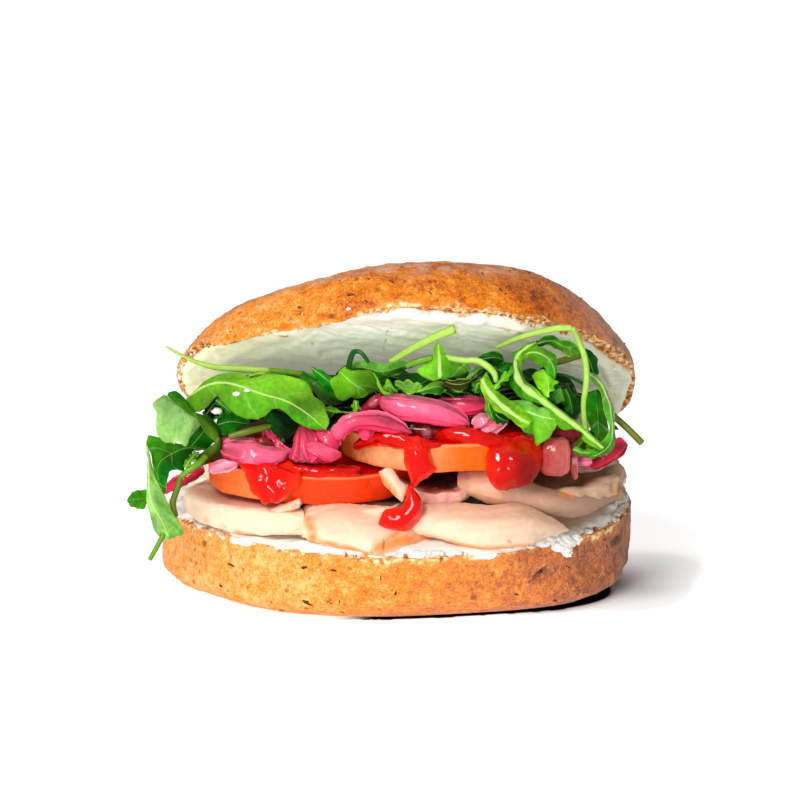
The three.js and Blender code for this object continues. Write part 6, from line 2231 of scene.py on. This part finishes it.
class SANDWICH_OT_stalks(Operator):
    """Adds the rocket's stalks"""

    bl_idname = "sandwich.stalks"
    bl_label = "Rocket stalks"

    def execute(self, context):
        material = tinted_material("rocket_stalk", 0.35, 1.2, 0.08, 0.15)
        skin = Skin()
        for tone, rows in STALKS:
            rows = np.reshape(rows, (-1, 5))
            path = np.column_stack([clear_of_spread(seen(rows[:, :3])), rows[:, 3:]])
            grid, across = strand(path, (0, -1, 0.3), 60, 18, power=0.9, blunt=0.4)
            middle, edge = tones(GREENS[tone], GREENS["stem_dark" if tone == "stem" else "dark"])
            # each stalk is darker towards both sides, as painted shade round it
            skin.add(grid, tint=blend(middle, edge, 0.55 * smooth(np.abs(across), 0.45, 1.0)))
        skin.piece("rocket_stalks", material, "rocket")
        return {"FINISHED"}


# Crumbs

# Crumbs along both rims, the last of them at the front alone, and crumbs that the photograph shows on the
# leaves: (across, down, depth) and size
CRUMBS = 760
CRUMBS_ALL_ROUND = 620
CRUMBS_SEEN = ((236, 393.5, -45.6, 0.9), (247, 390.5, -45.8, 0.6), (217, 411, -38, 1.3))


class SANDWICH_OT_crumbs(Operator):
    """Strews crumbs along both cut rims"""

    bl_idname = "sandwich.crumbs"
    bl_label = "Crumbs"

    def execute(self, context):
        sizes = context.scene.sandwich_sizes
        material = tinted_material("torn_bread_crumb", 0.8, 0.6, 0.2, 0.4)
        random = np.random.default_rng(23)
        brown, light, white = tones("#CC7A34", "#F2BC78", "#F7F1E4")
        skin = Skin()
        for number in range(CRUMBS):
            lower = number % 2 == 0
            angle = random.uniform(0, 2 * np.pi) if number < CRUMBS_ALL_ROUND else random.uniform(-np.pi, 0)
            radius = BAGEL_RADIUS - abs(random.normal(0, 1.3)) - 0.4
            place = np.array([radius * np.cos(angle), radius * np.sin(angle), 0.0])
            if lower:
                place[2] = BOTTOM_RISE + random.uniform(-0.4, 0.5)
            else:
                place[2] = random.uniform(-0.9, 0.3)
                place[0] = pulled_in(place[0])
                place = tilted(place)
            size = 0.5 * sizes.crumb_size / MM * random.uniform(0.5, 1.5)
            axes = np.diag(size * random.uniform(0.6, 1.2, 3))
            tone = random.choice(3, p=(0.45, 0.4, 0.15))
            skin.add(lump(place, axes, 5, 7, 0.6, number), tint=(brown, light, white)[tone])
        for across, down, depth, size in CRUMBS_SEEN:
            axes = np.diag([size, 0.5 * size, 0.55 * size])
            skin.add(lump(seen((across, down, depth)), axes, 6, 8, 0.5, int(down)), tint=white)
        skin.piece("bread_crumbs", material, "crust")
        return {"FINISHED"}


# Stage

# How strongly the floor glows, how far it reaches and how thick it is, in millimetres
FLOOR_GLOW = 0.84
FLOOR_REACH = 6000.0
FLOOR_THICKNESS = 5.0
# How much of the glow a painted shade takes, and what it takes at once where it begins: the lamps light the
# floor too
SHADE_GAIN = 1.3
SHADE_STEP = 0.27
# Each lamp's name and kind, its settings in metres, radians and watts, and its place
LAMPS = (
    ("key_light", "SUN", {"angle": np.radians(14), "energy": 0.94}, (-0.58, -0.62, 1.05)),
    ("small_softbox", "AREA", {"size": 0.28, "energy": 3.8}, (-0.3, -0.75, 0.6)),
    ("low_front_fill", "AREA", {"size": 0.6, "energy": 8.8}, (-0.35, -1.15, 0.06)),
)


def floor_form(relief):
    """The floor as rings round the bagel's foot, closest together near it. With it come two values at each
    point that paint shadow on the floor: light, which is 0 in the painted dark line under the foot's right
    front, and glow, which also dims in the painted soft shade beside the foot's right end."""
    grid = bagel_half("bottom", relief)[0]
    radius = np.where(grid[..., 2] < 0.8, np.linalg.norm(grid[..., :2], axis=-1), 0)
    widest = np.argmax(radius, axis=0)
    foot = grid[widest, np.arange(grid.shape[1])][:, :2]
    outward = unit(foot)
    far = [50, 90, 300, FLOOR_REACH, FLOOR_REACH]
    away = np.concatenate([[-20, -8, -4, -2], np.arange(-1, 9, 0.25), np.arange(9, 36, 1.0), far])[:, None]
    plane = foot[None] + away[..., None] * outward[None]
    height = 0 * plane[..., 0]
    height[-1] = -FLOOR_THICKNESS
    turn = np.degrees(np.arctan2(foot[:, 1], foot[:, 0]))[None, :]
    in_front = 1 - smooth(turn, -62, -42)
    width = 1.2 - 1.1 * in_front + 2.4 * hill(turn + 27, 13)
    beside = smooth(turn, -112, -98) * (1 - smooth(turn, -13, -4))
    light = 1 - beside * (1 - smooth(away, width - 0.4, width + 0.4))
    depth = 0.62 * hill(turn + 14, np.where(turn > -14, 17, 15))
    reach = 25 + 8 * smooth(turn, -12, 14)
    close = 0.3 * beside * (1 - in_front) * np.exp(-np.maximum(away - width, 0) / 0.8)
    shade = depth * (1 - smooth(away, 5 * smooth(turn, -12, 8) - 1, reach)) + close
    # lift paints light onto the floor right in front of the foot
    lift = 0.12 * in_front * (1 - smooth(away, 1, 9))
    glow = np.clip(1 - SHADE_GAIN * shade - SHADE_STEP * smooth(shade, 0, 0.05), 0, 1) + lift
    return np.concatenate([plane, height[..., None]], axis=-1), light, light * glow


def floor_material(colour):
    """A white floor that glows evenly, but for a painted shadow: the dark line right under the bagel's foot
    and the soft shade beside it, where it glows less."""
    material, shader, add = new_material("white_floor_painted_shadow")
    light, glow = (add("Attribute", attribute_name=name)["Fac"] for name in ("light", "glow"))
    shaded = {0: light, UNDER: (0.004, 0.004, 0.003, 1), OVER: (*colour, 1)}
    set_inputs(shader, {
        "Base Color": add("Mix", shaded, data_type="RGBA")[MIXED],
        "Emission Strength": add("Math", {0: glow, 1: FLOOR_GLOW}, operation="MULTIPLY")[0],
        "Emission Color": (1, 1, 1, 1),
        "Roughness": 0.9,
        "Specular IOR Level": 0.1,
    })
    return material


class SANDWICH_OT_stage(Operator):
    """Sets the floor, the studio light and the photograph's camera"""

    bl_idname = "sandwich.stage"
    bl_label = "Stage"

    def execute(self, context):
        scene = context.scene
        grid, light, glow = floor_form(scene.sandwich_sizes.crust_relief / MM)
        skin = Skin()
        skin.add(grid, light=light, glow=glow)
        floor = skin.made("studio_floor", floor_material(tuple(scene.sandwich_colours.floor)))
        floor.visible_glossy = False
        world = bpy.data.worlds.new("studio")
        scene.world = world
        world.use_nodes = True
        set_inputs(world.node_tree.nodes["Background"], {"Color": (1, 1, 1, 1), "Strength": 0.3})
        for name, kind, settings, place in LAMPS:
            data = bpy.data.lights.new(name, kind)
            for setting, value in settings.items():
                setattr(data, setting, value)
            lamp = bpy.data.objects.new(name, data)
            lamp.location = place
            aim = Vector((0, 0, 0.04)) - Vector(place)
            lamp.rotation_euler = aim.to_track_quat("-Z", "Y").to_euler()
            lamp.visible_glossy = name != "low_front_fill"
            scene.collection.objects.link(lamp)
        camera_data = bpy.data.cameras.new("photo_camera")
        camera_data.sensor_width = SENSOR
        camera_data.lens = FOCAL_PIXELS * SENSOR / PHOTO_SIZE
        camera_data.clip_end = 30
        camera = bpy.data.objects.new("photo_camera", camera_data)
        back = DISTANCE * np.array([0, -np.cos(ELEVATION), np.sin(ELEVATION)])
        camera.location = (AIM + SHIFT + back) * MM
        camera.rotation_euler = (np.pi / 2 - ELEVATION, 0, 0)
        scene.collection.objects.link(camera)
        scene.camera = camera
        scene.view_settings.view_transform = "Standard"
        scene.view_settings.exposure = -0.12
        return {"FINISHED"}


STEPS = (
    SANDWICH_OT_stage, SANDWICH_OT_bagel, SANDWICH_OT_seeds, SANDWICH_OT_spread, SANDWICH_OT_chicken,
    SANDWICH_OT_tomatoes, SANDWICH_OT_onion, SANDWICH_OT_sauce, SANDWICH_OT_rocket, SANDWICH_OT_stalks,
    SANDWICH_OT_crumbs,
)


class SANDWICH_PT_panel(Panel):
    """Lists the steps and the settings"""

    bl_idname = "SANDWICH_PT_panel"
    bl_label = "Bagel sandwich"
    bl_space_type = "VIEW_3D"
    bl_region_type = "UI"
    bl_category = "Sandwich"

    def draw(self, context):
        for step in STEPS:
            self.layout.operator(step.bl_idname)
        for settings in (context.scene.sandwich_sizes, context.scene.sandwich_colours):
            for name in settings.__annotations__:
                self.layout.prop(settings, name)


CLASSES = (SandwichSizes, SandwichColours, *STEPS, SANDWICH_PT_panel)


def register():
    for one in CLASSES:
        bpy.utils.register_class(one)
    bpy.types.Scene.sandwich_sizes = PointerProperty(type=SandwichSizes)
    bpy.types.Scene.sandwich_colours = PointerProperty(type=SandwichColours)


def unregister():
    del bpy.types.Scene.sandwich_colours
    del bpy.types.Scene.sandwich_sizes
    for one in reversed(CLASSES):
        bpy.utils.unregister_class(one)


def main():
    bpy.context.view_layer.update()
    register()
    for step in STEPS:
        group, name = step.bl_idname.split(".")
        getattr(getattr(bpy.ops, group), name)()


if __name__ == "__main__":
    main()
